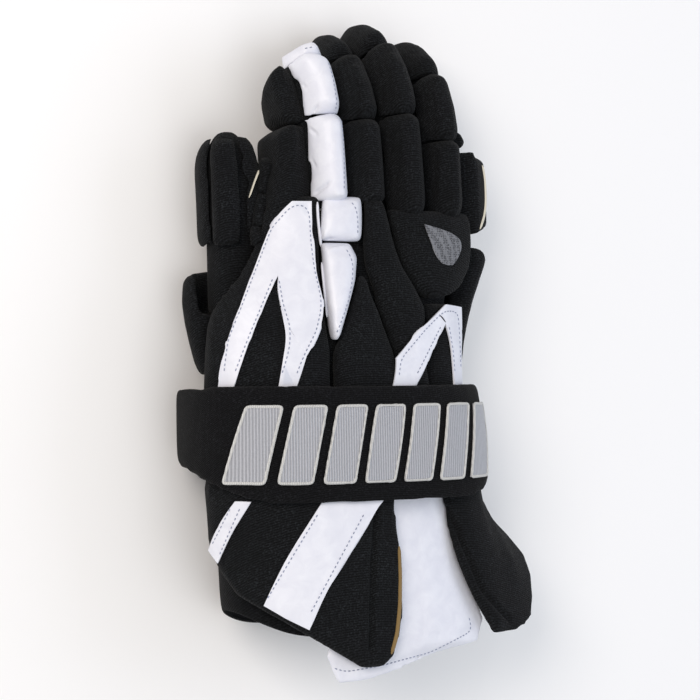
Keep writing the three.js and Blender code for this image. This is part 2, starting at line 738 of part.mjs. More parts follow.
// Thin skins laid on the pads
const STRAP_EDGE = STRAP_WIDTH / 2 / HAND_LENGTH + 0.008;
const ON_BACK_PADS = LAYER_GAP + BACK_PAD_RISE + LAYER_GAP;
const INDEX_OVERLAY = [
  { across: -0.56, along: 0.98 },
  { across: -0.71, along: 0.94 },
  { across: -0.68, along: 0.78 },
  { across: -0.65, along: 0.58 },
  { across: -0.72, along: 0.41 },
  { across: -0.77, along: STRAP_EDGE },
  { across: -0.65, along: STRAP_EDGE },
  { across: -0.55, along: 0.43 },
  { across: -0.5, along: 0.56 },
  { across: -0.48, along: 0.71 },
  { across: -0.39, along: 0.58 },
  { across: -0.33, along: 0.45 },
  { across: -0.38, along: STRAP_EDGE },
  { across: -0.29, along: STRAP_EDGE },
  { across: -0.24, along: 0.37 },
  { across: -0.2, along: 0.43 },
  { across: -0.17, along: 0.51 },
  { across: -0.18, along: 0.6 },
  { across: -0.27, along: 0.72 },
  { across: -0.35, along: 0.86 },
  { across: -0.4, along: 0.94 },
  { across: -0.42, along: 0.98 },
];
const PINKY_OVERLAY = [
  { across: 0.38, along: 0.595 },
  { across: 0.19, along: 0.47 },
  { across: 0.09, along: 0.36 },
  { across: 0.09, along: 0.31 },
  { across: 0.07, along: STRAP_EDGE },
  { across: 0.18, along: STRAP_EDGE },
  { across: 0.27, along: 0.37 },
  { across: 0.39, along: 0.51 },
  { across: 0.45, along: 0.44 },
  { across: 0.46, along: 0.35 },
  { across: 0.46, along: STRAP_EDGE },
  { across: 0.57, along: STRAP_EDGE },
  { across: 0.6, along: 0.39 },
  { across: 0.61, along: 0.5 },
  { across: 0.57, along: 0.585 },
];
const KNUCKLE_MESH = [
  { across: 0.13, along: 0.945 },
  { across: 0.33, along: 0.915 },
  { across: 0.44, along: 0.88 },
  { across: 0.44, along: 0.83 },
  { across: 0.38, along: 0.76 },
  { across: 0.31, along: 0.76 },
  { across: 0.24, along: 0.8 },
  { across: 0.17, along: 0.88 },
];
addPiece("index_overlay", overlay(INDEX_OVERLAY, ON_BACK_PADS, SKIN_RISE), WHITE);
addPiece("pinky_overlay", overlay(PINKY_OVERLAY, ON_BACK_PADS, SKIN_RISE), WHITE);
addPiece("knuckle_mesh", overlay(KNUCKLE_MESH, ON_BACK_PADS + 1, SKIN_RISE), MESH_GREY);

// White stripes over the cuff's thumb side, in shares of the cuff's length
const ON_CUFF_PADS = CUFF_PANEL_LOW + CUFF_PAD_RISE + LAYER_GAP;
const CUFF_STRIPES = [
  { name: "cuff_stripe_1", outline: [
    { across: -0.7, along: -0.33 },
    { across: -0.6, along: -0.33 },
    { across: -0.68, along: -0.39 },
    { across: -0.84, along: -0.58 },
    { across: -0.92, along: -0.52 },
    { across: -0.83, along: -0.41 },
  ] },
  { name: "cuff_stripe_2", outline: [
    { across: -0.24, along: -0.33 },
    { across: -0.01, along: -0.33 },
    { across: -0.1, along: -0.49 },
    { across: -0.22, along: -0.7 },
    { across: -0.31, along: -0.89 },
    { across: -0.53, along: -0.77 },
    { across: -0.4, along: -0.55 },
  ] },
];
for (const stripe of CUFF_STRIPES) {
  addPiece(stripe.name, overlay(stripe.outline, ON_CUFF_PADS, SKIN_RISE), WHITE);
}

// Embroidery on the strap: a plain row of slanted bars
const ON_STRAP = STRAP_LIFT + STRAP_RISE + LAYER_GAP;
const STRAP_BARS = 7;
const BAR_START = -0.855;
const BAR_PITCH = 0.258;
const BAR_WIDTH = 0.19;
const BAR_SLANT = 0.12;
const BAR_LIMIT = 0.94;
const BAR_FACET = 9.5;
const BAR_HEIGHT = 0.31 * STRAP_WIDTH;
for (let i = 0; i < STRAP_BARS; i += 1) {
  const left = BAR_START + BAR_PITCH * i;
  const placed = (share) => acrossAt(THREE.MathUtils.clamp(share, -BAR_LIMIT, BAR_LIMIT));
  const low = formAlong(-BAR_HEIGHT);
  const high = formAlong(BAR_HEIGHT);
  const outline = [
    { across: placed(left - BAR_SLANT / 2), along: low },
    { across: placed(left + BAR_WIDTH - BAR_SLANT / 2), along: low },
    { across: placed(left + BAR_WIDTH + BAR_SLANT / 2), along: high },
    { across: placed(left + BAR_SLANT / 2), along: high },
  ];
  addPiece(`strap_bar_${i + 1}`, overlay(outline, ON_STRAP, EMBROIDERY_RISE, BAR_FACET), EMBROIDERY);
}

// The finished glove stands on its lowest point, centred over it
const bounds = new THREE.Box3().setFromObject(glove);
const centre = bounds.getCenter(new THREE.Vector3());
glove.position.set(-centre.x, -centre.y, -bounds.min.z);

export default glove;
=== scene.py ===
"""Right-hand lacrosse glove lying palm down, dressed over its packed construction.

Every foam roll, panel, skin, strap and stall of the construction gets a soft piece of its own. Lengths are
in metres, and a value written as n * MM is n millimetres. A pair of numbers such as (316, 222) in a seam or
trim is a column and a row of the 700-pixel photograph, and View lays it on the cover that it names.
"""

import logging
import math
from dataclasses import dataclass, field
from enum import Enum

import bmesh
import bpy
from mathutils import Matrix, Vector, kdtree
from mathutils.bvhtree import BVHTree


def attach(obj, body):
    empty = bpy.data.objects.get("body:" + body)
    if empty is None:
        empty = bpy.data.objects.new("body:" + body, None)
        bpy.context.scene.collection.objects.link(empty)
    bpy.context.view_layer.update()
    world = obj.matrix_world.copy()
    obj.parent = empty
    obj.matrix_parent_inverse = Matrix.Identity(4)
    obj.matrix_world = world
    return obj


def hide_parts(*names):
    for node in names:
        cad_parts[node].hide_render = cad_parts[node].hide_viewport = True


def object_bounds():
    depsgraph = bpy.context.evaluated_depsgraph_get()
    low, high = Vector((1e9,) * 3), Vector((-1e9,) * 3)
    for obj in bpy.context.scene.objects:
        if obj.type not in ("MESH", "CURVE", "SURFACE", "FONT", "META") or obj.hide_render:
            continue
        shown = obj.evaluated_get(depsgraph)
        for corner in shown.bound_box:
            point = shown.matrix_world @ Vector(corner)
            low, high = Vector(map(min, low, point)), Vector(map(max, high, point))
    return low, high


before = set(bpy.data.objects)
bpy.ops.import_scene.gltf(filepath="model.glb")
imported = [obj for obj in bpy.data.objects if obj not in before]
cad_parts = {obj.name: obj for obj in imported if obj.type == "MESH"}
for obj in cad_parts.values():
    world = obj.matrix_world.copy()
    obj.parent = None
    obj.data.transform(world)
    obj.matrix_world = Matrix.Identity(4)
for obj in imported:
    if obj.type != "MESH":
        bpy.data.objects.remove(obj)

CAD_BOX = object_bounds()
MM = 0.001
WELD = 0.01 * MM
FACING = 0.5
SMOOTHING = 0.5
BODY = "root"
LOG = logging.getLogger("glove")

# Corners of a line on the photograph, each a column and a row of its pixels.
Line = tuple[tuple[float, float], ...]


class Slot(Enum):
    """Material slots of the record."""

    KNIT = "knit"
    WEBBING = "webbing"
    WHITE = "white_leather"
    MESH = "grey_mesh"
    EMBROIDERY = "embroidery"
    PALM = "palm_leather"
    LINING = "lining"


def linear(code: str) -> tuple[float, float, float, float]:
    """Turn an sRGB hex colour to the linear values that a shader takes.

    Args:
        code: colour such as "#e6e8ee".

    Returns:
        Linear red, green, blue and an alpha of one.
    """
    parts = [int(code[i:i + 2], 16) / 255 for i in (1, 3, 5)]
    toe = 0.04045
    return (*[c / 12.92 if c <= toe else ((c + 0.055) / 1.055) ** 2.4 for c in parts], 1.0)


def add_node(tree: bpy.types.NodeTree, kind: str, inputs: dict | None = None, **settings) -> bpy.types.Node:
    """Add a shader node with its settings, and fill or link its inputs.

    Args:
        tree: node tree of a material.
        kind: the node's type.
        inputs: input name or number to a value or to another node's output.
        **settings: the node's own settings.

    Returns:
        The new node.
    """
    node = tree.nodes.new(kind)
    for name, value in settings.items():
        setattr(node, name, value)
    for name, value in (inputs or {}).items():
        if isinstance(value, bpy.types.NodeSocket):
            tree.links.new(value, node.inputs[name])
        else:
            node.inputs[name].default_value = value
    return node


def band_scale(period: float) -> float:
    """Scale of a Wave Texture whose bands repeat after a period in metres."""
    return math.pi / 10 / period


@dataclass(frozen=True)
class Finish:
    """A surface finish: its slot, its colours, how rough it is, and the depth and strength of its relief."""

    name: str
    slot: Slot
    colour: str
    second: str
    roughness: float
    depth: float = 0.35 * MM
    strength: float = 0.8

    def make(self) -> bpy.types.Material:
        """Build the material once and return it after that.

        Returns:
            The finish's material.
        """
        found = bpy.data.materials.get(self.name)
        if found:
            return found
        material = bpy.data.materials.new(self.name)
        material.use_nodes = True
        tree = material.node_tree
        shader = tree.nodes["Principled BSDF"]
        shader.inputs["Roughness"].default_value = self.roughness
        place = add_node(tree, "ShaderNodeTexCoord").outputs["Object"]
        self.paint(tree, shader, place)
        return material

    def paint(self, tree: bpy.types.NodeTree, shader: bpy.types.Node, place: bpy.types.NodeSocket) -> None:
        """Draw the finish's pattern into the shader.

        Args:
            tree: node tree of the material.
            shader: the Principled shader.
            place: Object coordinates.
        """
        raise NotImplementedError

    def join(self, tree: bpy.types.NodeTree, shader: bpy.types.Node, mix: bpy.types.NodeSocket,
             height: bpy.types.NodeSocket) -> None:
        """Link a mix of the two colours and a bump to the shader.

        Args:
            tree: node tree of the material.
            shader: the Principled shader.
            mix: share of the second colour.
            height: height from 0 to 1.
        """
        colours = {0: mix, 6: linear(self.colour), 7: linear(self.second)}
        blend = add_node(tree, "ShaderNodeMix", colours, data_type="RGBA")
        tree.links.new(blend.outputs[2], shader.inputs["Base Color"])
        bump = add_node(tree, "ShaderNodeBump", {
            "Strength": self.strength, "Distance": self.depth, "Height": height})
        tree.links.new(bump.outputs["Normal"], shader.inputs["Normal"])


@dataclass(frozen=True)
class RibKnit(Finish):
    """Polyester knit over foam: fine cross ribs with broken flecks of light on the yarn.

    The real rib is about half a millimetre wide. It is drawn coarser here, so that it shows in the render.
    """

    rib: float = 1.2 * MM
    slant: float = math.radians(35)
    wale: float = 1.6
    fleck: float = 0.8 * MM
    glint_patches: float = 60.0
    sheen: float = 0.03
    sheen_roughness: float = 0.45
    specular: float = 0.12

    def paint(self, tree: bpy.types.NodeTree, shader: bpy.types.Node, place: bpy.types.NodeSocket) -> None:
        """Ribs across the glove, cut by wales along it, with painted highlight: lighter on the ribs' crests
        and in patches of glinting flecks on the yarn.

        Args:
            tree: node tree of the material.
            shader: the Principled shader.
            place: Object coordinates.
        """
        slanted = add_node(tree, "ShaderNodeMapping", {"Vector": place, "Rotation": (self.slant, 0, 0)})
        across = add_node(tree, "ShaderNodeTexWave", {
            "Vector": slanted.outputs["Vector"], "Scale": band_scale(self.rib * math.cos(self.slant)),
            "Distortion": 0.8, "Detail": 1.0, "Detail Scale": 1.5}, bands_direction="Y")
        along = add_node(tree, "ShaderNodeTexWave", {
            "Vector": place, "Scale": band_scale(self.rib * self.wale), "Distortion": 1.6, "Detail": 2.0,
            "Detail Scale": 1.5}, bands_direction="X")
        faint = add_node(tree, "ShaderNodeMath", {0: along.outputs["Fac"], 1: 0.35, 2: 0.65},
                         operation="MULTIPLY_ADD")
        cells = add_node(tree, "ShaderNodeMath", {0: across.outputs["Fac"], 1: faint.outputs[0]},
                         operation="MULTIPLY")
        yarn = add_node(tree, "ShaderNodeTexNoise", {
            "Vector": place, "Scale": 1 / self.fleck, "Detail": 2.0, "Roughness": 0.6})
        bright = add_node(tree, "ShaderNodeMapRange", {
            "Value": yarn.outputs["Fac"], "From Min": 0.5, "From Max": 0.75, "To Max": 1.5})
        broad = add_node(tree, "ShaderNodeTexNoise", {
            "Vector": place, "Scale": self.glint_patches, "Detail": 2.0})
        glints = add_node(tree, "ShaderNodeMath", {0: bright.outputs["Result"], 1: broad.outputs["Fac"]},
                        operation="MULTIPLY")
        # Painted highlight: the colour is lighter on the ribs' crests and on the yarn's flecks of glint,
        # which come in patches.
        lit = add_node(tree, "ShaderNodeMath", {0: cells.outputs[0], 1: 0.3, 2: glints.outputs[0]},
                       operation="MULTIPLY_ADD")
        height = add_node(tree, "ShaderNodeMath", {0: yarn.outputs["Fac"], 1: 0.6, 2: cells.outputs[0]},
                          operation="MULTIPLY_ADD")
        shader.inputs["Sheen Weight"].default_value = self.sheen
        shader.inputs["Sheen Roughness"].default_value = self.sheen_roughness
        shader.inputs["Specular IOR Level"].default_value = self.specular
        self.join(tree, shader, lit.outputs[0], height.outputs[0])


@dataclass(frozen=True)
class CoatedLeather(Finish):
    """Polyurethane-coated leather, embossed with a fine grain: smooth, slightly glossy, faintly creased."""

    depth: float = 0.45 * MM
    strength: float = 0.35
    grain: float = 0.9 * MM
    crease: float = 7 * MM
    specular: float = 0.5

    def paint(self, tree: bpy.types.NodeTree, shader: bpy.types.Node, place: bpy.types.NodeSocket) -> None:
        """Fine grain over broad, shallow creases, with painted shade: the tone is darker where the creases
        sink.

        Args:
            tree: node tree of the material.
            shader: the Principled shader.
            place: Object coordinates.
        """
        grain = add_node(tree, "ShaderNodeTexVoronoi", {"Vector": place, "Scale": 1 / self.grain})
        crease = add_node(tree, "ShaderNodeTexNoise", {
            "Vector": place, "Scale": 1 / self.crease, "Detail": 4.0, "Roughness": 0.55, "Distortion": 0.6})
        height = add_node(tree, "ShaderNodeMath", {
            0: grain.outputs["Distance"], 1: 0.12, 2: crease.outputs["Fac"]}, operation="MULTIPLY_ADD")
        # Painted shade: the colour follows the creases' height and is darker in their hollows.
        tone = add_node(tree, "ShaderNodeMapRange", {
            "Value": crease.outputs["Fac"], "From Min": 0.35, "From Max": 0.75})
        shader.inputs["Specular IOR Level"].default_value = self.specular
        self.join(tree, shader, tone.outputs["Result"], height.outputs[0])


@dataclass(frozen=True)
class SatinStitch(Finish):
    """Rayon satin stitch: close upright threads with a silky light on them.

    The real threads are about 0.4 mm apart. A wide bar draws them coarser, so that they show in the render.
    """

    thread: float = 1.3 * MM
    fray: float = 0.8 * MM
    sheen: float = 0.2

    def paint(self, tree: bpy.types.NodeTree, shader: bpy.types.Node, place: bpy.types.NodeSocket) -> None:
        """Upright ribs of thread with painted sheen, light on each rib's crest, each a little different in
        tone.

        Args:
            tree: node tree of the material.
            shader: the Principled shader.
            place: Object coordinates.
        """
        rows = add_node(tree, "ShaderNodeTexWave", {
            "Vector": place, "Scale": band_scale(self.thread), "Distortion": 0.5, "Detail": 1.0},
            bands_direction="X")
        fray = add_node(tree, "ShaderNodeTexNoise", {"Vector": place, "Scale": 1 / self.fray, "Detail": 2.0})
        tone = add_node(tree, "ShaderNodeMath", {0: fray.outputs["Fac"], 1: 0.5, 2: -0.1},
                        operation="MULTIPLY_ADD")
        # Painted sheen: the colour follows the ribs' height, light on each thread's crest and dark between.
        mix = add_node(tree, "ShaderNodeMath", {0: rows.outputs["Fac"], 1: 0.75, 2: tone.outputs[0]},
                       operation="MULTIPLY_ADD", use_clamp=True)
        shader.inputs["Sheen Weight"].default_value = self.sheen
        self.join(tree, shader, mix.outputs[0], rows.outputs["Fac"])


@dataclass(frozen=True)
class SpacerMesh(Finish):
    """Open spacer mesh: small dark holes in grey yarn."""

    depth: float = 0.5 * MM
    strength: float = 0.9
    hole: float = 1.1 * MM

    def paint(self, tree: bpy.types.NodeTree, shader: bpy.types.Node, place: bpy.types.NodeSocket) -> None:
        """Rows of holes in a grainy yarn.

        Args:
            tree: node tree of the material.
            shader: the Principled shader.
            place: Object coordinates.
        """
        holes = add_node(tree, "ShaderNodeTexVoronoi", {
            "Vector": place, "Scale": 1 / self.hole, "Randomness": 0.35})
        yarn = add_node(tree, "ShaderNodeMapRange", {
            "Value": holes.outputs["Distance"], "From Min": 0.2, "From Max": 0.5})
        self.join(tree, shader, yarn.outputs["Result"], yarn.outputs["Result"])


@dataclass(frozen=True)
class Suede(Finish):
    """Brushed suede or microfibre: matte, with a soft uneven nap."""

    depth: float = 0.3 * MM
    strength: float = 0.5
    nap: float = 1.1 * MM
    patch: float = 45.0
    sheen: float = 0.15

    def paint(self, tree: bpy.types.NodeTree, shader: bpy.types.Node, place: bpy.types.NodeSocket) -> None:
        """Short nap brushed in patches.

        Args:
            tree: node tree of the material.
            shader: the Principled shader.
            place: Object coordinates.
        """
        nap = add_node(tree, "ShaderNodeTexNoise", {"Vector": place, "Scale": 1 / self.nap, "Detail": 3.0})
        patches = add_node(tree, "ShaderNodeTexNoise", {
            "Vector": place, "Scale": self.patch, "Detail": 3.0})
        shader.inputs["Sheen Weight"].default_value = self.sheen
        self.join(tree, shader, patches.outputs["Fac"], nap.outputs["Fac"])


# Polyester rib knit laminated on foam: a deep, dull black, with painted highlight of dark grey glinting
# flecks on the yarn, in patches, and lighter rib crests.
KNIT = RibKnit("black_rib_knit", Slot.KNIT, "#070708", "#2b2e31", 0.92)

# Brushed nylon loop webbing: a flat black with a finer, quieter rib than the knit beside it.
WEBBING = RibKnit("black_loop_webbing", Slot.WEBBING, "#070708", "#242528", 0.95, rib=1.0 * MM)

# The knit's unlaminated back inside the cuff: the darkest black, with a wide soft rib.
LINING = RibKnit("black_knit_lining", Slot.LINING, "#060607", "#222427", 0.96, rib=1.4 * MM)

# Polyurethane-coated leather: a clean, faintly blue white with a soft gloss and shallow creases, with painted
# shade darkening their hollows.
WHITE = CoatedLeather("white_coated_leather", Slot.WHITE, "#dcdee8", "#e6e8f0", 0.42)

# Bonded polyester thread: small blue-grey dashes that outline the white leather, with painted sheen along
# their threads.
THREAD = SatinStitch("blue_grey_thread", Slot.EMBROIDERY, "#8791ad", "#a3abc2", 0.6, thread=0.5 * MM)

# Rayon satin stitch: silver grey, with painted sheen that makes each upright thread light on its crest and
# dark between.
SILVER = SatinStitch("silver_satin_stitch", Slot.EMBROIDERY, "#85878e", "#b9bbc1", 0.45)

# The same stitch laid across a narrow edge: a pale, raised, finely notched border, with the same painted
# sheen on its threads.
BORDER = SatinStitch("pale_satin_border", Slot.EMBROIDERY, "#b4b4b3", "#dededb", 0.5, thread=0.8 * MM)

# Polyester spacer mesh: mid grey with rows of small dark holes.
GREY_MESH = SpacerMesh("grey_spacer_mesh", Slot.MESH, "#47484d", "#77797e", 0.85)

# Brushed microfibre of the palm: a matte cream with an uneven nap.
PALM = Suede("cream_microfibre", Slot.PALM, "#cfc8b4", "#e4dfd0", 0.9)

# Split suede bound round the cuff's edge: a matte tan line beside the white tongue, its colours darkened with
# painted shade to the shade that falls at the panel's edge.
SHADED_TAN = Suede("tan_suede_painted_shade", Slot.PALM, "#6e5833", "#8f7546", 0.9)


def pick(piece: bpy.types.Object) -> None:
    """Select one object alone and make it active.

    Args:
        piece: the object.
    """
    bpy.ops.object.select_all(action="DESELECT")
    piece.select_set(True)
    bpy.context.view_layer.objects.active = piece


def apply(piece: bpy.types.Object, kind: str, **settings) -> None:
    """Add a modifier with its settings and apply it.

    Args:
        piece: the object that gets it.
        kind: the modifier's type.
        **settings: the modifier's own settings.
    """
    pick(piece)
    modifier = piece.modifiers.new(kind.title(), kind)
    for name, value in settings.items():
        setattr(modifier, name, value)
    bpy.ops.object.modifier_apply(modifier=modifier.name)


def subdivide(piece: bpy.types.Object, levels: int) -> None:
    """Round a piece off with applied Catmull-Clark levels."""
    apply(piece, "SUBSURF", levels=levels, render_levels=levels)


def copy_node(node: str, name: str) -> bpy.types.Object:
    """Make a new piece from a welded copy of a construction node's mesh.

    Args:
        node: the construction node.
        name: the new piece's name.

    Returns:
        The new piece, at the origin.
    """
    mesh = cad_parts[node].data.copy()
    mesh.name = name
    mesh.materials.clear()
    piece = bpy.data.objects.new(name, mesh)
    bpy.context.scene.collection.objects.link(piece)
    pick(piece)
    bpy.ops.object.mode_set(mode="EDIT")
    bpy.ops.mesh.select_all(action="SELECT")
    bpy.ops.mesh.remove_doubles(threshold=WELD)
    bpy.ops.object.mode_set(mode="OBJECT")
    return piece


def tree_of(*objects: bpy.types.Object) -> BVHTree:
    """Search tree over the meshes of some objects.

    Args:
        *objects: mesh objects at the origin.

    Returns:
        One tree over all their faces.
    """
    points: list[Vector] = []
    faces: list[list[int]] = []
    for one in objects:
        first = len(points)
        points += [v.co.copy() for v in one.data.vertices]
        faces += [[first + i for i in polygon.vertices] for polygon in one.data.polygons]
    return BVHTree.FromPolygons(points, faces)


def evened(path: list[Vector], pitch: float) -> list[Vector]:
    """Points at an even pitch along a line.

    Args:
        path: the line's corners.
        pitch: distance between the points.

    Returns:
        The points, from the line's start.
    """
    points = [path[0].copy()]
    left = pitch
    for start, end in zip(path, path[1:]):
        span = (end - start).length
        walked = 0.0
        while span - walked >= left > 0:
            walked += left
            points.append(start.lerp(end, walked / span))
            left = pitch
        left -= span - walked
    return points


def way_round(path: list[Vector]) -> float:
    """Length of a line."""
    return sum((b - a).length for a, b in zip(path, path[1:]))


def bridge(mesh: bmesh.types.BMesh, rings: list[list[bmesh.types.BMVert]], closed: bool = False) -> None:
    """Join rings of vertices to a tube.

    Args:
        mesh: the mesh that holds them.
        rings: the rings, in order, each with as many vertices.
        closed: whether the last ring meets the first, so that the tube has no ends.
    """
    sides = len(rings[0])
    for near, far in zip(rings, rings[1:] + rings[:1] if closed else rings[1:]):
        for i in range(sides):
            j = (i + 1) % sides
            mesh.faces.new((near[i], near[j], far[j], far[i]))
    if not closed:
        mesh.faces.new(rings[0][::-1])
        mesh.faces.new(rings[-1])


def as_piece(mesh: bmesh.types.BMesh, name: str) -> bpy.types.Object:
    """Turn a built mesh into a new piece, and free it.

    Args:
        mesh: the built mesh.
        name: the new piece's name.

    Returns:
        The new piece, at the origin.
    """
    data = bpy.data.meshes.new(name)
    mesh.to_mesh(data)
    mesh.free()
    piece = bpy.data.objects.new(name, data)
    bpy.context.scene.collection.objects.link(piece)
    return piece


def faces_over(mesh: bmesh.types.BMesh, backing: BVHTree) -> list[bmesh.types.BMFace]:
    """Faces of a pad or skin that look away from what it is sewn to.

    Args:
        mesh: mesh of the pad or skin.
        backing: search tree of what it is sewn to.

    Returns:
        Its outer faces.
    """
    outer = []
    for face in mesh.faces:
        centre = face.calc_center_median()
        rise = centre - backing.find_nearest(centre)[0]
        if rise.length > 0 and face.normal.dot(rise.normalized()) > FACING:
            outer.append(face)
    return outer


@dataclass
class Rim:
    """The edge of a node's outer face, as a closed line."""

    points: list[Vector]

    @classmethod
    def of_node(cls, node: str, backing: BVHTree, pitch: float = 1.0 * MM) -> "Rim":
        """Trace the edge of a node's outer face.

        Args:
            node: construction node of a pad or a skin.
            backing: what it is sewn to.
            pitch: distance between the rim's points.

        Returns:
            The longest closed edge of its outer face.
        """
        mesh = bmesh.new()
        mesh.from_mesh(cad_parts[node].data)
        bmesh.ops.remove_doubles(mesh, verts=mesh.verts[:], dist=WELD)
        outer = set(faces_over(mesh, backing))
        bmesh.ops.delete(mesh, geom=[f for f in mesh.faces if f not in outer], context="FACES")
        follow: dict[bmesh.types.BMVert, list[bmesh.types.BMEdge]] = {}
        for edge in mesh.edges:
            if edge.is_boundary:
                for vert in edge.verts:
                    follow.setdefault(vert, []).append(edge)
        best: list[Vector] = []
        seen: set[bmesh.types.BMEdge] = set()
        for start in follow:
            loop: list[Vector] = []
            vert = start
            ahead = [e for e in follow[vert] if e not in seen]
            while ahead:
                seen.add(ahead[0])
                loop.append(vert.co.copy())
                vert = ahead[0].other_vert(vert)
                ahead = [e for e in follow[vert] if e not in seen]
            if way_round(loop) > way_round(best):
                best = loop
        mesh.free()
        return cls(evened(best + best[:1], pitch))


def dress(piece: bpy.types.Object, finish: Finish, *nodes: str,
          fill: float | None = None) -> bpy.types.Object:
    """Give a piece its finish, its body and the nodes that it stands for, and report it.

    Args:
        piece: the finished mesh.
        finish: its finish.
        *nodes: construction nodes that it replaces.
        fill: how tight the padding is from 0 to 1, for a padded piece; not used.

    Returns:
        The piece.
    """
    piece.data.materials.clear()
    piece.data.materials.append(finish.make())
    piece.data.polygons.foreach_set("use_smooth", [True] * len(piece.data.polygons))
    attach(piece, BODY)
    if nodes:
        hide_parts(*nodes)
    LOG.info("%s: %d faces", piece.name, len(piece.data.polygons))
    return piece


@dataclass(frozen=True)
class Reach:
    """Foam pushed out at one side of a pad, until it presses on what lies beside it.

    Its span is the share of the pad that moves, and its slant turns the push towards the little finger.
    """

    towards: tuple[float, float, float]
    by: float
    span: float = 0.35
    slant: float = 0.0

    def push(self, piece: bpy.types.Object) -> None:
        """Move the places near that side outwards, less and less towards the pad's middle.

        Args:
            piece: the pad or skin.
        """
        side = Vector(self.towards).normalized()
        way = side + Vector((self.slant, 0, 0))
        spots = [v.co.dot(side) for v in piece.data.vertices]
        high = max(spots)
        room = self.span * (high - min(spots))
        for vertex, spot in zip(piece.data.vertices, spots):
            share = max(0.0, 1 - (high - spot) / room)
            vertex.co += way * self.by * share * share * (3 - 2 * share)


@dataclass
class Pad:
    """One padded piece: the node that it stands for, its finish and how it swells.

    It is remeshed at its voxel size and softened before it swells, then eased and subdivided.
    """

    node: str
    finish: Finish
    voxel: float = 1.7 * MM
    swell: float = 1.6 * MM
    fill: float = 0.75
    soften: int = 3
    ease: int = 1
    levels: int = 1
    reaches: tuple[Reach, ...] = ()

    def start(self) -> bpy.types.Object:
        """Remesh the node's solid and soften its corners.

        Returns:
            The piece before it swells.
        """
        piece = copy_node(self.node, f"{self.node}_cover")
        apply(piece, "REMESH", mode="VOXEL", voxel_size=self.voxel)
        apply(piece, "SMOOTH", factor=SMOOTHING, iterations=self.soften)
        return piece


@dataclass
class Padding:
    """All the foam rolls and panels, blown up together in one cloth run and held to their places."""

    pads: list[Pad]
    backing: tuple[str, ...]
    pressure: float = 4.0
    quality: int = 3
    frames: int = 20
    backing_reach: float = 2.2 * MM
    side_room: float = 0.2 * MM
    pieces: dict[str, bpy.types.Object] = field(default_factory=dict)

    def build(self) -> dict[str, bpy.types.Object]:
        """Make every pad.

        Returns:
            Node name to its finished piece.
        """
        under = tree_of(*[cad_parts[n] for n in self.backing])
        for pad in self.pads:
            piece = pad.start()
            self.pieces[pad.node] = piece
            self.add_cloth(piece, under)
        for step in range(1, self.frames + 1):
            bpy.context.scene.frame_set(step)
        for pad in self.pads:
            piece = self.pieces[pad.node]
            pick(piece)
            bpy.ops.object.modifier_apply(modifier="Cloth")
            self.hold(piece, pad, tree_of(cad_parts[pad.node]), under)
            apply(piece, "SMOOTH", factor=SMOOTHING, iterations=pad.ease)
            for reach in pad.reaches:
                reach.push(piece)
            if pad.levels:
                subdivide(piece, pad.levels)
            dress(piece, pad.finish, pad.node, fill=pad.fill)
        bpy.context.scene.frame_set(1)
        return self.pieces

    def add_cloth(self, piece: bpy.types.Object, under: BVHTree) -> None:
        """Give a piece a pressurised cloth that is held where it is sewn to its backing.

        Args:
            piece: the piece before it swells.
            under: search tree of the backing.
        """
        sewn = piece.vertex_groups.new(name="sewn")
        held = [v.index for v in piece.data.vertices if under.find_nearest(v.co)[3] < self.backing_reach]
        sewn.add(held, 1.0, "REPLACE")
        cloth = piece.modifiers.new("Cloth", "CLOTH")
        cloth.settings.use_pressure = True
        cloth.settings.uniform_pressure_force = self.pressure
        cloth.settings.vertex_group_mass = "sewn"
        cloth.settings.quality = self.quality
        cloth.settings.effector_weights.gravity = 0
        cloth.collision_settings.use_collision = False
        cloth.point_cache.frame_start = 1
        cloth.point_cache.frame_end = self.frames

    def hold(self, piece: bpy.types.Object, pad: Pad, solid: BVHTree, under: BVHTree) -> None:
        """Keep a swollen piece within its room: free to rise, but not into what lies beside it.

        Args:
            piece: the swollen piece.
            pad: its sizes.
            solid: the solid that it stands for.
            under: the backing that it is sewn to.
        """
        for vertex in piece.data.vertices:
            near, normal, _, distance = solid.find_nearest(vertex.co)
            outside = (vertex.co - near).dot(normal)
            base = under.find_nearest(vertex.co)[0]
            rise = (vertex.co - base).normalized()
            room = self.side_room + (pad.swell - self.side_room) * max(0.0, normal.dot(rise)) ** 2
            if outside > room:
                vertex.co = near + (vertex.co - near) * (room / distance)
        piece.data.update()


@dataclass
class Shells:
    """The hollow hand, stalls and cuff, rounded off from their faceted walls."""

    nodes: tuple[tuple[str, Finish], ...]
    levels: int = 2
    mouth_cut: float = 16 * MM
    mouth_span: float = 40 * MM
    mouth_depth: float = 55 * MM
    flatness: float = 0.7

    def round_mouth(self, piece: bpy.types.Object) -> None:
        """Draw the cuff's mouth back towards the wrist at the thumb's side, in a round corner.

        Args:
            piece: the cuff's wall.
        """
        left = min(v.co.x for v in piece.data.vertices)
        end = min(v.co.y for v in piece.data.vertices)
        for vertex in piece.data.vertices:
            aside = max(0.0, 1 - (vertex.co.x - left) / self.mouth_span)
            along = max(0.0, 1 - (vertex.co.y - end) / self.mouth_depth)
            vertex.co.y += self.mouth_cut * aside * aside * along

    def build(self) -> dict[str, bpy.types.Object]:
        """Round off each wall.

        Returns:
            Node name to its finished wall.
        """
        pieces = {}
        for node, finish in self.nodes:
            piece = copy_node(node, f"{node}_cloth")
            if node == "cuff_liner":
                self.round_mouth(piece)
            pick(piece)
            bpy.ops.object.mode_set(mode="EDIT")
            bpy.ops.mesh.select_all(action="SELECT")
            bpy.ops.mesh.tris_convert_to_quads(face_threshold=self.flatness, shape_threshold=self.flatness)
            bpy.ops.object.mode_set(mode="OBJECT")
            subdivide(piece, self.levels)
            pieces[node] = dress(piece, finish, node)
        return pieces


RimPlace = tuple[bmesh.types.BMVert, list[bmesh.types.BMVert]]


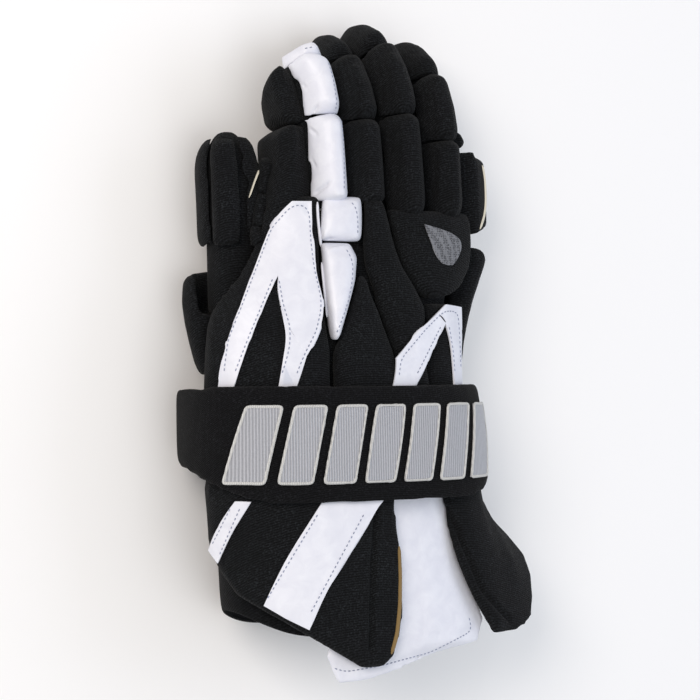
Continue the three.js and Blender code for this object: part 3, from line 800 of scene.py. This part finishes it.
@dataclass
class Skin:
    """A thin layer cut to an outline and sewn down on what lies under it.

    It looks for what lies under it as far as its reach and moves at most its sink to lie on that, evened over
    its places, or its ripple more where something stands up there. Evening, settling and raising are numbers
    of passes. A turn in its outline that is sharper than its corner stays sharp, and an edge shorter than its
    shortest is closed.
    """

    node: str
    finish: Finish
    thickness: float = 0.9 * MM
    lift: float = 0.3 * MM
    facet_cuts: int = 7
    reach: float = 12 * MM
    sink: float = 2.5 * MM
    evening: int = 14
    rim_evening: int = 50
    settling: int = 3
    raising: int = 2
    shortest: float = 0.6 * MM
    ripple: float = 1.6 * MM
    corner: float = math.radians(35)
    steepest: float = 0.5
    edge: float = 0.35 * MM
    edge_turn: float = math.radians(50)
    reaches: tuple[Reach, ...] = ()

    def outer_face(self, mesh: bmesh.types.BMesh) -> None:
        """Keep only the faces that look away from the glove's core.

        Args:
            mesh: the skin's mesh.
        """
        middle = (CAD_BOX[0] + CAD_BOX[1]) / 2
        lower = []
        for face in mesh.faces:
            out = face.calc_center_median() - Vector((middle.x, 0, 0))
            out.y = 0
            if face.normal.dot(out.normalized()) < FACING:
                lower.append(face)
        bmesh.ops.delete(mesh, geom=lower, context="FACES")

    def ways_out(self, mesh: bmesh.types.BMesh) -> list[Vector]:
        """Directions out of the skin, evened over its facets.

        Args:
            mesh: the skin's outer face.

        Returns:
            A direction for each vertex.
        """
        ways = [v.normal.copy() for v in mesh.verts]
        for _ in range(self.evening):
            ways = [sum((ways[e.other_vert(v).index] for e in v.link_edges), ways[v.index]).normalized()
                    for v in mesh.verts]
        return ways

    def straight_rim(self, mesh: bmesh.types.BMesh) -> list[RimPlace]:
        """Places on the skin's edge that aren't corners, each with its two neighbours along the edge.

        Args:
            mesh: the skin's outer face.

        Returns:
            A vertex and its two neighbours for each place.
        """
        found = []
        for vertex in mesh.verts:
            beside = [e.other_vert(vertex) for e in vertex.link_edges if e.is_boundary]
            if len(beside) == 2:
                turn = (vertex.co - beside[0].co).angle(beside[1].co - vertex.co, math.pi)
                if turn < self.corner:
                    found.append((vertex, beside))
        return found

    def drops(self, mesh: bmesh.types.BMesh, ways: list[Vector], under: BVHTree) -> list[float]:
        """How far each place moves outwards to lie on what is under it, evened over the skin.

        Args:
            mesh: the skin's outer face.
            ways: direction out of the skin at each vertex.
            under: search tree of the pieces that it lies on.

        Returns:
            A distance for each vertex, in metres.
        """
        found: list[float | None] = []
        for vertex, way in zip(mesh.verts, ways):
            hit = under.ray_cast(vertex.co + way * self.reach / 2, -way, self.reach)
            drop = None if hit[0] is None else self.reach / 2 - hit[3]
            found.append(drop if drop is not None and abs(drop) < 2 * self.sink else None)
        known = [d for d in found if d is not None]
        usual = sum(known) / len(known)
        evened = [usual if d is None else max(-self.sink, min(self.sink, d)) for d in found]
        for _ in range(self.evening):
            evened = [(evened[v.index] + sum(evened[e.other_vert(v).index] for e in v.link_edges))
                      / (1 + len(v.link_edges)) for v in mesh.verts]
        raised = [e if d is None else max(e, min(d, e + self.ripple)) for e, d in zip(evened, found)]
        for _ in range(self.raising):
            raised = [max(raised[v.index], sum(raised[e.other_vert(v).index] for e in v.link_edges)
                          / len(v.link_edges)) for v in mesh.verts]
        return raised

    def smooth_inside(self, mesh: bmesh.types.BMesh) -> None:
        """Smooth the skin once, with its edge kept.

        Args:
            mesh: the skin's outer face.
        """
        inside = [v for v in mesh.verts if not v.is_boundary]
        bmesh.ops.smooth_vert(mesh, verts=inside, factor=SMOOTHING, use_axis_x=True, use_axis_y=True,
                              use_axis_z=True)

    def settle(self, mesh: bmesh.types.BMesh, ways: list[Vector], under: BVHTree) -> None:
        """Lift the places that sank into what is under the skin, straight out so that its outline stays true.

        Args:
            mesh: the skin's outer face.
            ways: direction out of the skin at each vertex.
            under: search tree of the pieces that it lies on.
        """
        for vertex, way in zip(mesh.verts, ways):
            near, normal, _, away = under.find_nearest(vertex.co)
            short = self.lift - (vertex.co - near).dot(normal)
            if away < self.sink and short > 0:
                vertex.co += way * min(self.ripple, short / max(self.steepest, normal.dot(way)))

    def build(self, under: BVHTree) -> bpy.types.Object:
        """Take the outer face of the node's solid, lay it down and give it thickness and a soft edge.

        Args:
            under: search tree of the pieces that it lies on.

        Returns:
            The skin.
        """
        piece = copy_node(self.node, f"{self.node}_skin")
        for reach in self.reaches:
            reach.push(piece)
        mesh = bmesh.new()
        mesh.from_mesh(piece.data)
        self.outer_face(mesh)
        bmesh.ops.remove_doubles(mesh, verts=mesh.verts[:], dist=self.shortest)
        bmesh.ops.subdivide_edges(mesh, edges=mesh.edges[:], cuts=self.facet_cuts, use_grid_fill=True)
        mesh.normal_update()
        mesh.verts.ensure_lookup_table()
        mesh.verts.index_update()
        rim = self.straight_rim(mesh)
        ways = self.ways_out(mesh)
        for vertex, way, drop in zip(mesh.verts, ways, self.drops(mesh, ways, under)):
            vertex.co += way * (drop + self.lift)
        for _ in range(self.settling):
            self.smooth_inside(mesh)
            self.settle(mesh, ways, under)
        for _ in range(self.rim_evening):
            moved = [(vertex, (vertex.co * 2 + beside[0].co + beside[1].co) / 4) for vertex, beside in rim]
            for vertex, place in moved:
                vertex.co = place
        for _ in range(self.settling):
            self.smooth_inside(mesh)
        mesh.to_mesh(piece.data)
        mesh.free()
        apply(piece, "SOLIDIFY", thickness=self.thickness, offset=1.0)
        apply(piece, "BEVEL", width=self.edge, segments=2, limit_method="ANGLE", angle_limit=self.edge_turn)
        return dress(piece, self.finish, self.node)


@dataclass(frozen=True)
class View:
    """The camera's place, and where a pixel of the 700-pixel photograph falls on a piece.

    A place of a route that lies nearer the one before than its closest is left out.
    """

    target: Vector = Vector((-11.0 * MM, -5.2 * MM, 46.0 * MM))
    distance: float = 1.0
    tilt: float = math.radians(30)
    width: float = 0.343
    pixels: int = 700
    closest: float = 0.2 * MM

    def eye(self) -> Vector:
        """Place of the camera."""
        return self.target + Vector((-math.sin(self.tilt), 0, math.cos(self.tilt))) * self.distance

    def spot(self, pixel: tuple[float, float], piece: BVHTree) -> tuple[Vector, Vector] | None:
        """Find what a pixel shows of a piece.

        Args:
            pixel: column and row in the photograph.
            piece: search tree of the piece.

        Returns:
            The place on it and the direction out of it, or nothing where the pixel misses it.
        """
        right = Vector((math.cos(self.tilt), 0, math.sin(self.tilt)))
        size = self.width / self.pixels
        centre = self.pixels / 2
        plane = self.target + right * (pixel[0] - centre) * size + Vector((0, centre - pixel[1], 0)) * size
        hit = piece.ray_cast(self.eye(), (plane - self.eye()).normalized())
        return None if hit[0] is None else (hit[0], hit[1])

    def route(self, pixels: Line, piece: BVHTree, step: float = 3.0) -> list[Vector]:
        """Lay a line of pixels on a piece.

        Args:
            pixels: the corners of the line.
            piece: search tree of the piece.
            step: distance between the places, in pixels.

        Returns:
            Places on the piece, in order.
        """
        places: list[Vector] = []
        for (x0, y0), (x1, y1) in zip(pixels, pixels[1:]):
            count = max(1, round(math.hypot(x1 - x0, y1 - y0) / step))
            for i in range(count + 1):
                found = self.spot((x0 + (x1 - x0) * i / count, y0 + (y1 - y0) * i / count), piece)
                if found and (not places or (found[0] - places[-1]).length > self.closest):
                    places.append(found[0])
        return places


VIEW = View()


def rounded(path: list[Vector], passes: int = 4) -> list[Vector]:
    """Ease the corners of a line, with its ends kept.

    Args:
        path: the line's places.
        passes: how many times they are evened with their neighbours.

    Returns:
        As many places, eased.
    """
    for _ in range(passes):
        path = [path[0], *[(a + b * 2 + c) / 4 for a, b, c in zip(path, path[1:], path[2:])], path[-1]]
    return path


@dataclass(frozen=True)
class Groove:
    """A seam, fold or ridge pressed into a finished cover along a line of the photograph's pixels.

    The cover stays as it is beyond its room, a number of widths, and the groove fades in and out over the
    first and last few places.
    """

    node: str
    line: Line
    depth: float
    width: float
    pitch: float = 0.7 * MM
    room: int = 3
    fading: int = 4

    def press(self, piece: bpy.types.Object) -> None:
        """Press the cover in along the line, or raise it where the depth is negative.

        Args:
            piece: the node's finished cover.
        """
        route = VIEW.route(self.line, tree_of(piece))
        if len(route) < 2:
            LOG.warning("%s: a groove misses it", self.node)
            return
        route = evened(rounded(route), self.pitch)
        finder = kdtree.KDTree(len(route))
        for number, place in enumerate(route):
            finder.insert(place, number)
        finder.balance()
        room = self.room * self.width
        low_x, high_x = min(r.x for r in route) - room, max(r.x for r in route) + room
        low_y, high_y = min(r.y for r in route) - room, max(r.y for r in route) + room
        near = [v for v in piece.data.vertices if low_x < v.co.x < high_x and low_y < v.co.y < high_y]
        normals = [v.normal.copy() for v in near]
        for vertex, normal in zip(near, normals):
            _, number, away = finder.find(vertex.co)
            if away < room:
                fade = min(1.0, (number + 1) / self.fading, (len(route) - number) / self.fading)
                vertex.co -= normal * self.depth * fade * math.exp(-((away / self.width) ** 2))
        piece.data.update()


@dataclass(frozen=True)
class Thread:
    """A row of separate stitches, each a short pill of thread half sunk into what it sews.

    The profile gives each ring's place along the pill and its size, as shares of the length and the radius.
    A stitch that lies further off the cloth than its reach is left out.
    """

    length: float = 1.25 * MM
    pitch: float = 2.3 * MM
    radius: float = 0.27 * MM
    flatness: float = 0.8
    raised: float = 0.35
    reach: float = 4 * MM
    sides: int = 6
    profile: tuple[tuple[float, float], ...] = ((-0.5, 0.5), (-0.32, 1.0), (0.32, 1.0), (0.5, 0.5))

    def sew(self, name: str, runs: list[list[Vector]], cloth: BVHTree) -> bpy.types.Object | None:
        """Lay stitches along some runs.

        Args:
            name: name of the new piece.
            runs: lines on or near the cloth.
            cloth: search tree of the cloth.

        Returns:
            One mesh with all the stitches, or nothing where the runs are too short.
        """
        mesh = bmesh.new()
        for run in runs:
            if len(run) < 3:
                LOG.warning("%s: a run of stitches is too short", name)
                continue
            path = evened(rounded(run), self.pitch)
            for here, there in zip(path, path[1:]):
                place, normal, _, away = cloth.find_nearest((here + there) / 2)
                if place is None or away > self.reach:
                    continue
                along = (there - here) - normal * (there - here).dot(normal)
                if along.length > 0:
                    centre = place + normal * self.radius * self.raised
                    self.stitch(mesh, centre, along.normalized(), normal)
        if not mesh.verts:
            mesh.free()
            return None
        return dress(as_piece(mesh, name), THREAD)

    def stitch(self, mesh: bmesh.types.BMesh, centre: Vector, along: Vector, up: Vector) -> None:
        """Add one pill.

        Args:
            mesh: the mesh that gets it.
            centre: its middle.
            along: unit direction of the thread.
            up: unit direction out of the cloth.
        """
        side = along.cross(up).normalized()
        rings = []
        for shift, size in self.profile:
            ring = []
            for i in range(self.sides):
                turn = 2 * math.pi * i / self.sides
                out = side * math.cos(turn) + up * math.sin(turn) * self.flatness
                ring.append(mesh.verts.new(centre + along * shift * self.length + out * self.radius * size))
            rings.append(ring)
        bridge(mesh, rings)


@dataclass(frozen=True)
class Piping:
    """A flattened cord of trim laid along a line of the photograph's pixels.

    An open end starts as thick as its tip, a share of the full size, and gains its taper with each ring.
    """

    name: str
    over: tuple[str, ...]
    line: Line
    finish: Finish
    width: float = 2.0 * MM
    height: float = 1.2 * MM
    lift: float = 0.0
    pitch: float = 1.0 * MM
    tip: float = 0.35
    taper: float = 0.3
    sides: int = 10
    ease: int = 6

    def lay(self, covers: dict[str, bpy.types.Object]) -> bpy.types.Object | None:
        """Lay the trim along its line of pixels.

        Args:
            covers: node name to its finished cover.

        Returns:
            The trim, or nothing where its line is too short.
        """
        tree = tree_of(*[covers[node] for node in self.over])
        route = VIEW.route(self.line, tree)
        if len(route) < 4:
            LOG.warning("%s: too short", self.name)
            return None
        return self.tube(evened(rounded(route, self.ease), self.pitch), tree, False)

    def tube(self, path: list[Vector], tree: BVHTree, closed: bool) -> bpy.types.Object:
        """Make the cord along a path.

        Args:
            path: its middle line.
            tree: search tree of what carries it.
            closed: whether the path comes back to its start.

        Returns:
            The trim.
        """
        mesh = bmesh.new()
        rings = []
        last = len(path) - 1
        for i, place in enumerate(path):
            ahead = path[(i + 1) % len(path)] if closed else path[min(i + 1, last)]
            along = (ahead - (path[i - 1] if closed else path[max(i - 1, 0)])).normalized()
            up = tree.find_nearest(place)[1]
            up = (up - along * up.dot(along)).normalized()
            side = along.cross(up)
            size = 1.0 if closed else min(1.0, self.tip + self.taper * min(i, last - i))
            ring = []
            for k in range(self.sides):
                turn = 2 * math.pi * k / self.sides
                out = side * math.cos(turn) * self.width / 2 + up * math.sin(turn) * self.height / 2
                ring.append(mesh.verts.new(place + up * self.lift + out * size))
            rings.append(ring)
        bridge(mesh, rings, closed)
        bmesh.ops.recalc_face_normals(mesh, faces=mesh.faces[:])
        piece = as_piece(mesh, self.name)
        subdivide(piece, 1)
        return dress(piece, self.finish)


@dataclass(frozen=True)
class Embroidery:
    """The strap's plain slanted bars of satin stitch, each with a raised border."""

    bars: int = 7
    easing: int = 3
    border_width: float = 1.6 * MM
    border_height: float = 1.1 * MM

    def border(self, bar: str, top: BVHTree) -> None:
        """Lay the raised border round one bar.

        Args:
            bar: the bar's node.
            top: search tree of the bar's piece.
        """
        rim = Rim.of_node(bar, tree_of(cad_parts["wrist_strap"]))
        path = [top.find_nearest(point)[0] for point in rim.points]
        for _ in range(self.easing):
            path = [(path[i - 1] + place * 2 + path[(i + 1) % len(path)]) / 4 for i, place in enumerate(path)]
        cord = Piping(f"{bar}_border", (), (), BORDER, width=self.border_width, height=self.border_height)
        cord.tube(path, top, True)

    def build(self, strap: bpy.types.Object) -> None:
        """Make the bars and their borders.

        Args:
            strap: the strap's finished cover.
        """
        under = tree_of(strap)
        for number in range(1, self.bars + 1):
            bar = f"strap_bar_{number}"
            self.border(bar, tree_of(Skin(bar, SILVER).build(under)))


@dataclass(frozen=True)
class Lamp:
    """One soft square light."""

    name: str
    place: tuple[float, float, float]
    size: float
    power: float
    colour: str


@dataclass(frozen=True)
class Studio:
    """Plain pale floor, soft lights and the camera at the photograph's angle.

    The lamps are a warm key at the thumb's side, a cool fill at the other and a wide light overhead.
    """

    view: View = VIEW
    floor_size: float = 4.0
    floor_colour: str = "#fafafa"
    floor_roughness: float = 0.9
    air_colour: str = "#f2f4f8"
    air_strength: float = 0.5
    lamps: tuple[Lamp, ...] = (
        Lamp("key", (-1.1, 0.5, 1.1), size=0.7, power=13.0, colour="#fff4ea"),
        Lamp("fill", (1.2, 0.1, 0.9), size=0.9, power=5.0, colour="#dfeaff"),
        Lamp("overhead", (-0.2, -0.5, 1.8), size=1.6, power=9.0, colour="#ffffff"),
    )

    def camera(self) -> None:
        """Place the camera above the glove, tilted to the thumb's side."""
        bpy.ops.object.camera_add(location=self.view.eye())
        camera = bpy.context.object
        camera.rotation_mode = "XYZ"
        camera.rotation_euler = (0, -self.view.tilt, 0)
        camera.data.lens = camera.data.sensor_width / self.view.width * self.view.distance
        bpy.context.scene.camera = camera

    def floor(self) -> None:
        """Lay the floor."""
        bpy.ops.mesh.primitive_plane_add(size=self.floor_size, location=(0, 0, 0))
        floor = bpy.context.object
        floor.name = "floor"
        # Matt painted board: an even, pale ground without a gloss of its own.
        material = bpy.data.materials.new("pale_floor")
        material.use_nodes = True
        shader = material.node_tree.nodes["Principled BSDF"]
        shader.inputs["Base Color"].default_value = linear(self.floor_colour)
        shader.inputs["Roughness"].default_value = self.floor_roughness
        floor.data.materials.append(material)

    def lights(self) -> None:
        """Set the lamps and the even light from all sides."""
        for lamp in self.lamps:
            self.area(lamp)
        world = bpy.data.worlds.new("studio_air")
        world.use_nodes = True
        air = world.node_tree.nodes["Background"]
        air.inputs["Color"].default_value = linear(self.air_colour)
        air.inputs["Strength"].default_value = self.air_strength
        bpy.context.scene.world = world

    def area(self, lamp: Lamp) -> None:
        """Add one soft light that looks at the glove.

        Args:
            lamp: its place, size, power and colour.
        """
        place = Vector(lamp.place)
        bpy.ops.object.light_add(type="AREA", location=place)
        light = bpy.context.object
        light.name = lamp.name
        light.data.size = lamp.size
        light.data.energy = lamp.power
        light.data.color = linear(lamp.colour)[:3]
        light.rotation_mode = "QUATERNION"
        light.rotation_quaternion = (self.view.target - place).to_track_quat("-Z", "Y")

    def build(self) -> None:
        """Set up the whole studio."""
        self.camera()
        self.floor()
        self.lights()
        bpy.context.scene.view_settings.view_transform = "Standard"


FINGERS = ("index", "middle", "ring", "pinky")
TO_WRIST = (0, -1, 0)
TO_TIPS = (0, 1, 0)
TO_PINKY = (1, 0, 0)
CLOSE_KNUCKLES = (Reach(TO_WRIST, 3.0 * MM, 0.2), Reach(TO_TIPS, 0.5 * MM, 0.2))
HIGH_KNUCKLES = (Reach(TO_WRIST, -2.0 * MM, 0.2), Reach(TO_TIPS, 0.5 * MM, 0.2))
CLOSE_HAND = (Reach(TO_TIPS, 1.5 * MM, 0.15),)
HIGH_HAND = (Reach(TO_TIPS, 6.6 * MM, 0.2),)

# Pressed seams and folds: node, line of pixels, depth and width. A negative depth raises a ridge instead.
SEAMS = (
    Groove("cuff_thumb_panel", ((377, 506), (373, 565), (371, 655)), 2.2 * MM, 1.3 * MM),
    Groove("cuff_pinky_flap", ((442, 500), (457, 530), (472, 565), (482, 590), (512, 622)),
           2.2 * MM, 1.3 * MM),
    Groove("index_tip_pad", ((303, 45), (299, 61)), 0.7 * MM, 0.8 * MM),
    Groove("index_pad_2", ((307, 122), (319, 104)), 1.3 * MM, 0.9 * MM),
    Groove("index_pad_2", ((299, 82), (307, 88)), 0.8 * MM, 0.8 * MM),
    Groove("index_pad_1", ((311, 196), (331, 182)), 1.3 * MM, 0.9 * MM),
    Groove("index_pad_1", ((309, 128), (318, 136)), 0.9 * MM, 0.8 * MM),
    Groove("index_pad_1", ((311, 158), (317, 170)), 0.6 * MM, 0.9 * MM),
    Groove("index_knuckle_pad", ((318, 241), (335, 238)), 1.0 * MM, 0.8 * MM),
    Groove("index_hand_pad", ((326, 251), (347, 246)), -0.8 * MM, 1.2 * MM),
)

# Lengthwise folds that stand up a little on the foam rolls, with the same columns.
RIDGES = (
    Groove("ring_pad_2", ((390, 52), (394, 76), (399, 95), (401, 116)), -1.1 * MM, 2.6 * MM),
    Groove("ring_pad_1", ((400, 122), (403, 145), (406, 170), (408, 202)), -1.1 * MM, 2.6 * MM),
    Groove("middle_pad_2", ((353, 64), (359, 80), (363, 98), (364, 114)), -1.0 * MM, 2.4 * MM),
    Groove("middle_pad_1", ((364, 122), (367, 150), (368, 175), (366, 198)), -1.0 * MM, 2.4 * MM),
    Groove("pinky_pad_2", ((431, 84), (438, 105), (440, 134)), -1.0 * MM, 2.4 * MM),
    Groove("pinky_pad_1", ((440, 146), (441, 170), (440, 205)), -1.0 * MM, 2.4 * MM),
    Groove("index_side_roll", ((294, 130), (291, 165), (287, 196)), -1.2 * MM, 2.4 * MM),
)

# Cords and strips: name, the covers or trims that carry it, line of pixels, finish and sizes.
TRIMS = (
    Piping("knuckle_binding", ("hand_shell", *[f"{finger}_stall" for finger in FINGERS]),
           ((296, 210), (345, 210), (400, 211), (462, 212)),
           KNIT, width=9.0 * MM, height=1.6 * MM, lift=0.6 * MM, ease=30),
    Piping("index_seam_strip", ("back_panel_index", "index_overlay"),
           ((315.5, 202), (316.2, 222), (317.8, 240), (319.5, 257)),
           WHITE, width=1.4 * MM, height=1.5 * MM, lift=1.2 * MM, ease=20),
    Piping("index_seam_strip_end", ("index_hand_pad",), ((322.6, 262), (325.2, 290), (328.2, 318)),
           WHITE, width=1.2 * MM, height=1.2 * MM, lift=0.5 * MM, ease=20),
    Piping("pinky_overlay_slit", ("pinky_overlay",), ((436, 313), (442, 316), (446, 323)),
           KNIT, width=0.7 * MM, height=0.6 * MM, lift=0.1 * MM),
    # The cuff panel's edge cord, in tan suede darkened with painted shade.
    Piping("thumb_panel_edge", ("cuff_thumb_panel",),
           ((396.3, 514), (398.6, 540), (400.2, 575), (399.8, 605), (397, 635), (391, 655)),
           SHADED_TAN, width=2.6 * MM, height=1.8 * MM),
    Piping("pinky_flap_edge", ("cuff_pinky_flap",), ((482, 492), (493, 508), (506, 528), (516, 545)),
           PALM, width=1.8 * MM, height=1.4 * MM),
    Piping("pinky_side_edge", ("pinky_side_roll",),
           ((482, 165), (484.5, 176), (485.5, 200), (484.5, 215), (479, 231)),
           PALM, width=2.0 * MM, height=1.6 * MM),
    Piping("thumb_web_roll", ("index_side_roll", "thumb_inner_pad", "back_panel_index"),
           ((269, 158), (265, 176), (261, 196), (259, 214), (258, 230), (258, 246)),
           KNIT, width=10 * MM, height=6 * MM, lift=1.0 * MM, ease=20),
    Piping("thumb_web_edge", ("thumb_web_roll", "index_side_roll", "thumb_inner_pad", "back_panel_index"),
           ((258, 170), (252, 188), (246, 206), (241, 221)),
           PALM, width=0.9 * MM, height=1.6 * MM, lift=0.5 * MM, ease=12),
)

# Visible rows of stitches: node to its lines of pixels.
HEMS: dict[str, tuple[Line, ...]] = {
    "index_tip_pad": (((304, 49), (312, 47), (322, 46)),),
    "index_pad_2": (((328, 62), (332, 75), (335, 90), (336, 102), (335, 112)),),
    "index_pad_1": (((341, 120), (343, 135), (344, 163), (344, 192)),),
    "index_knuckle_pad": (((351, 202), (356, 207), (358, 222), (357, 238)),),
    "index_hand_pad": (((346, 249), (351, 258), (353, 264), (352, 282), (348, 302), (341, 322), (336, 334)),),
    "cuff_tongue": (((331, 667), (345, 672), (380, 666), (431, 652), (472, 631), (468, 614)),),
    "cuff_stripe_1": (((233, 503), (212, 545)), ((240, 508), (219, 556))),
    "cuff_stripe_2": (((318, 514), (263, 606)), ((364, 514), (309, 616))),
    "index_overlay": (((224, 372), (228, 340), (241, 308), (272, 227), (280, 219), (288, 209), (294, 205),
                       (305, 205), (309, 211), (311, 243), (314, 267), (321, 298), (321, 310), (316, 332),
                       (306, 351), (300, 365), (296, 376)),
                      ((235, 372), (249, 336), (273, 278)),
                      ((279, 280), (283, 304), (290, 326), (290, 345), (285, 365), (281, 376))),
    "pinky_overlay": (((399, 376), (401, 359), (425, 330), (445, 310), (458, 312), (460, 345), (461, 372)),
                      ((417, 374), (423, 362), (441, 326)), ((449, 326), (453, 350), (455, 374))),
}


def finger_pads(finger: str) -> list[Pad]:
    """List a finger's three foam rolls: white and finer on the index finger, black on the others.

    Args:
        finger: the finger's name.

    Returns:
        Its pads, from the knuckle to the tip.
    """
    white = finger == "index"
    finish = WHITE if white else KNIT
    fine = 1.4 * MM if white else 1.7 * MM
    soften = 9 if white else 3
    blunt = 9
    ease = 5 if white else 1
    knuckles = HIGH_KNUCKLES if finger in ("index", "middle") else CLOSE_KNUCKLES
    second = tip = (Reach(TO_WRIST, 0.4 * MM, 0.2),)
    if white:
        second = (Reach((-0.8, 0.6, 0), 3.0 * MM, 0.25), Reach(TO_WRIST, 0.8 * MM, 0.2))
        tip = (Reach((-0.9, -0.45, 0), 4.0 * MM, 0.4),)
    return [Pad(f"{finger}_pad_1", finish, voxel=fine, soften=soften, ease=ease, reaches=knuckles),
            Pad(f"{finger}_pad_2", finish, voxel=fine, soften=soften, ease=ease, reaches=second),
            Pad(f"{finger}_tip_pad", finish, voxel=fine, soften=blunt, ease=ease, reaches=tip)]


def all_pads() -> list[Pad]:
    """List every padded piece with its finish and sizes.

    Returns:
        The pads, in the order in which they are built.
    """
    pads = [pad for finger in FINGERS for pad in finger_pads(finger)]
    pads.append(Pad("index_side_tip", KNIT, reaches=(
        Reach(TO_PINKY, 3.4 * MM, 0.5), Reach((-0.7, 0.7, 0), 4.0 * MM, 0.35))))
    pads.append(Pad("index_side_roll", KNIT, reaches=(
        Reach(TO_PINKY, 3.4 * MM, 0.5), Reach((-0.6, -0.8, 0), 8.0 * MM, 0.4))))
    for node in ("thumb_outer_roll", "thumb_top_pad", "thumb_inner_pad"):
        reaches = (Reach((0.8, 0.6, 0), 1.6 * MM, 0.3),) if node == "thumb_outer_roll" else ()
        pads.append(Pad(node, KNIT, voxel=2.0 * MM, soften=10, ease=5, reaches=reaches))
    for node in ("back_panel_index", "back_panel_middle"):
        pads.append(Pad(node, KNIT, reaches=HIGH_HAND))
    for node in ("back_panel_triangle", "knuckle_pad"):
        pads.append(Pad(node, KNIT, reaches=CLOSE_HAND))
    for node in ("pinky_side_tip", "pinky_side_roll", "thumb_base_pad", "back_panel_pinky", "hand_side_pad"):
        pads.append(Pad(node, KNIT, soften=6, ease=3))
    pads.append(Pad("cuff_thumb_panel", KNIT, voxel=1.8 * MM))
    pads.append(Pad("cuff_pinky_flap", KNIT, voxel=1.8 * MM, reaches=(Reach(TO_PINKY, 3.5 * MM, 0.5),)))
    pads.append(Pad("index_hand_pad", WHITE, voxel=1.4 * MM, reaches=(Reach(TO_TIPS, 0.8 * MM, 0.15),)))
    pads.append(Pad("index_knuckle_pad", WHITE, voxel=1.4 * MM, reaches=(Reach(TO_TIPS, 6.6 * MM, 0.8),)))
    pads.append(Pad("wrist_strap", WEBBING, voxel=2.2 * MM, swell=0.8 * MM, fill=0.5, ease=5))
    pads.append(Pad("cuff_tongue", WHITE, voxel=0.9 * MM, swell=0.3 * MM, fill=0.3, soften=6, ease=3,
                    reaches=(Reach((-0.5, -1, 0), 3.5 * MM, 0.2), Reach((1, -0.6, 0), 3.0 * MM, 0.2))))
    pads.append(Pad("palm_panel", PALM, voxel=1.0 * MM, swell=0.2 * MM, fill=0.2, levels=0))
    return pads


def lay_skins(covers: dict[str, bpy.types.Object]) -> None:
    """Lay the white overlays, the mesh patch and the cuff's stripes on what carries them.

    Args:
        covers: node name to its finished cover. The white skins are added to it.
    """
    hand = tree_of(*[covers[n] for n in ("back_panel_index", "back_panel_middle", "back_panel_pinky",
                                         "knuckle_pad", "back_panel_triangle")])
    under_strap = Reach(TO_WRIST, 3.0 * MM, 0.08)
    to_knuckles = Reach(TO_TIPS, 5.5 * MM, 0.06)
    covers["index_overlay"] = Skin("index_overlay", WHITE, reaches=(under_strap, to_knuckles)).build(hand)
    covers["pinky_overlay"] = Skin("pinky_overlay", WHITE, reaches=(under_strap,)).build(hand)
    Skin("knuckle_mesh", GREY_MESH, thickness=0.5 * MM, corner=math.radians(80)).build(hand)
    cuff = tree_of(covers["cuff_thumb_panel"])
    for node in ("cuff_stripe_1", "cuff_stripe_2"):
        covers[node] = Skin(node, WHITE, reaches=(Reach(TO_TIPS, 5.5 * MM, 0.08, 0.55),)).build(cuff)


def sew_seams(covers: dict[str, bpy.types.Object]) -> None:
    """Sew the visible rows of stitches.

    Args:
        covers: node name to its finished cover or skin.
    """
    for node, lines in HEMS.items():
        cloth = tree_of(covers[node])
        Thread().sew(f"{node}_stitches", [VIEW.route(line, cloth) for line in lines], cloth)


def main() -> None:
    """Build the studio and the glove."""
    Studio().build()
    walls = (("hand_shell", KNIT), ("cuff_liner", LINING), ("thumb_stall", KNIT),
             *[(f"{finger}_stall", KNIT) for finger in FINGERS])
    covers = Shells(walls).build()
    covers.update(Padding(all_pads(), tuple(node for node, _ in walls)).build())
    for groove in (*RIDGES, *SEAMS):
        groove.press(covers[groove.node])
    lay_skins(covers)
    for trim in TRIMS:
        covers[trim.name] = trim.lay(covers)
    sew_seams(covers)
    Embroidery().build(covers["wrist_strap"])


if __name__ == "__main__":
    logging.basicConfig(level=logging.INFO, format="%(message)s")
    main()
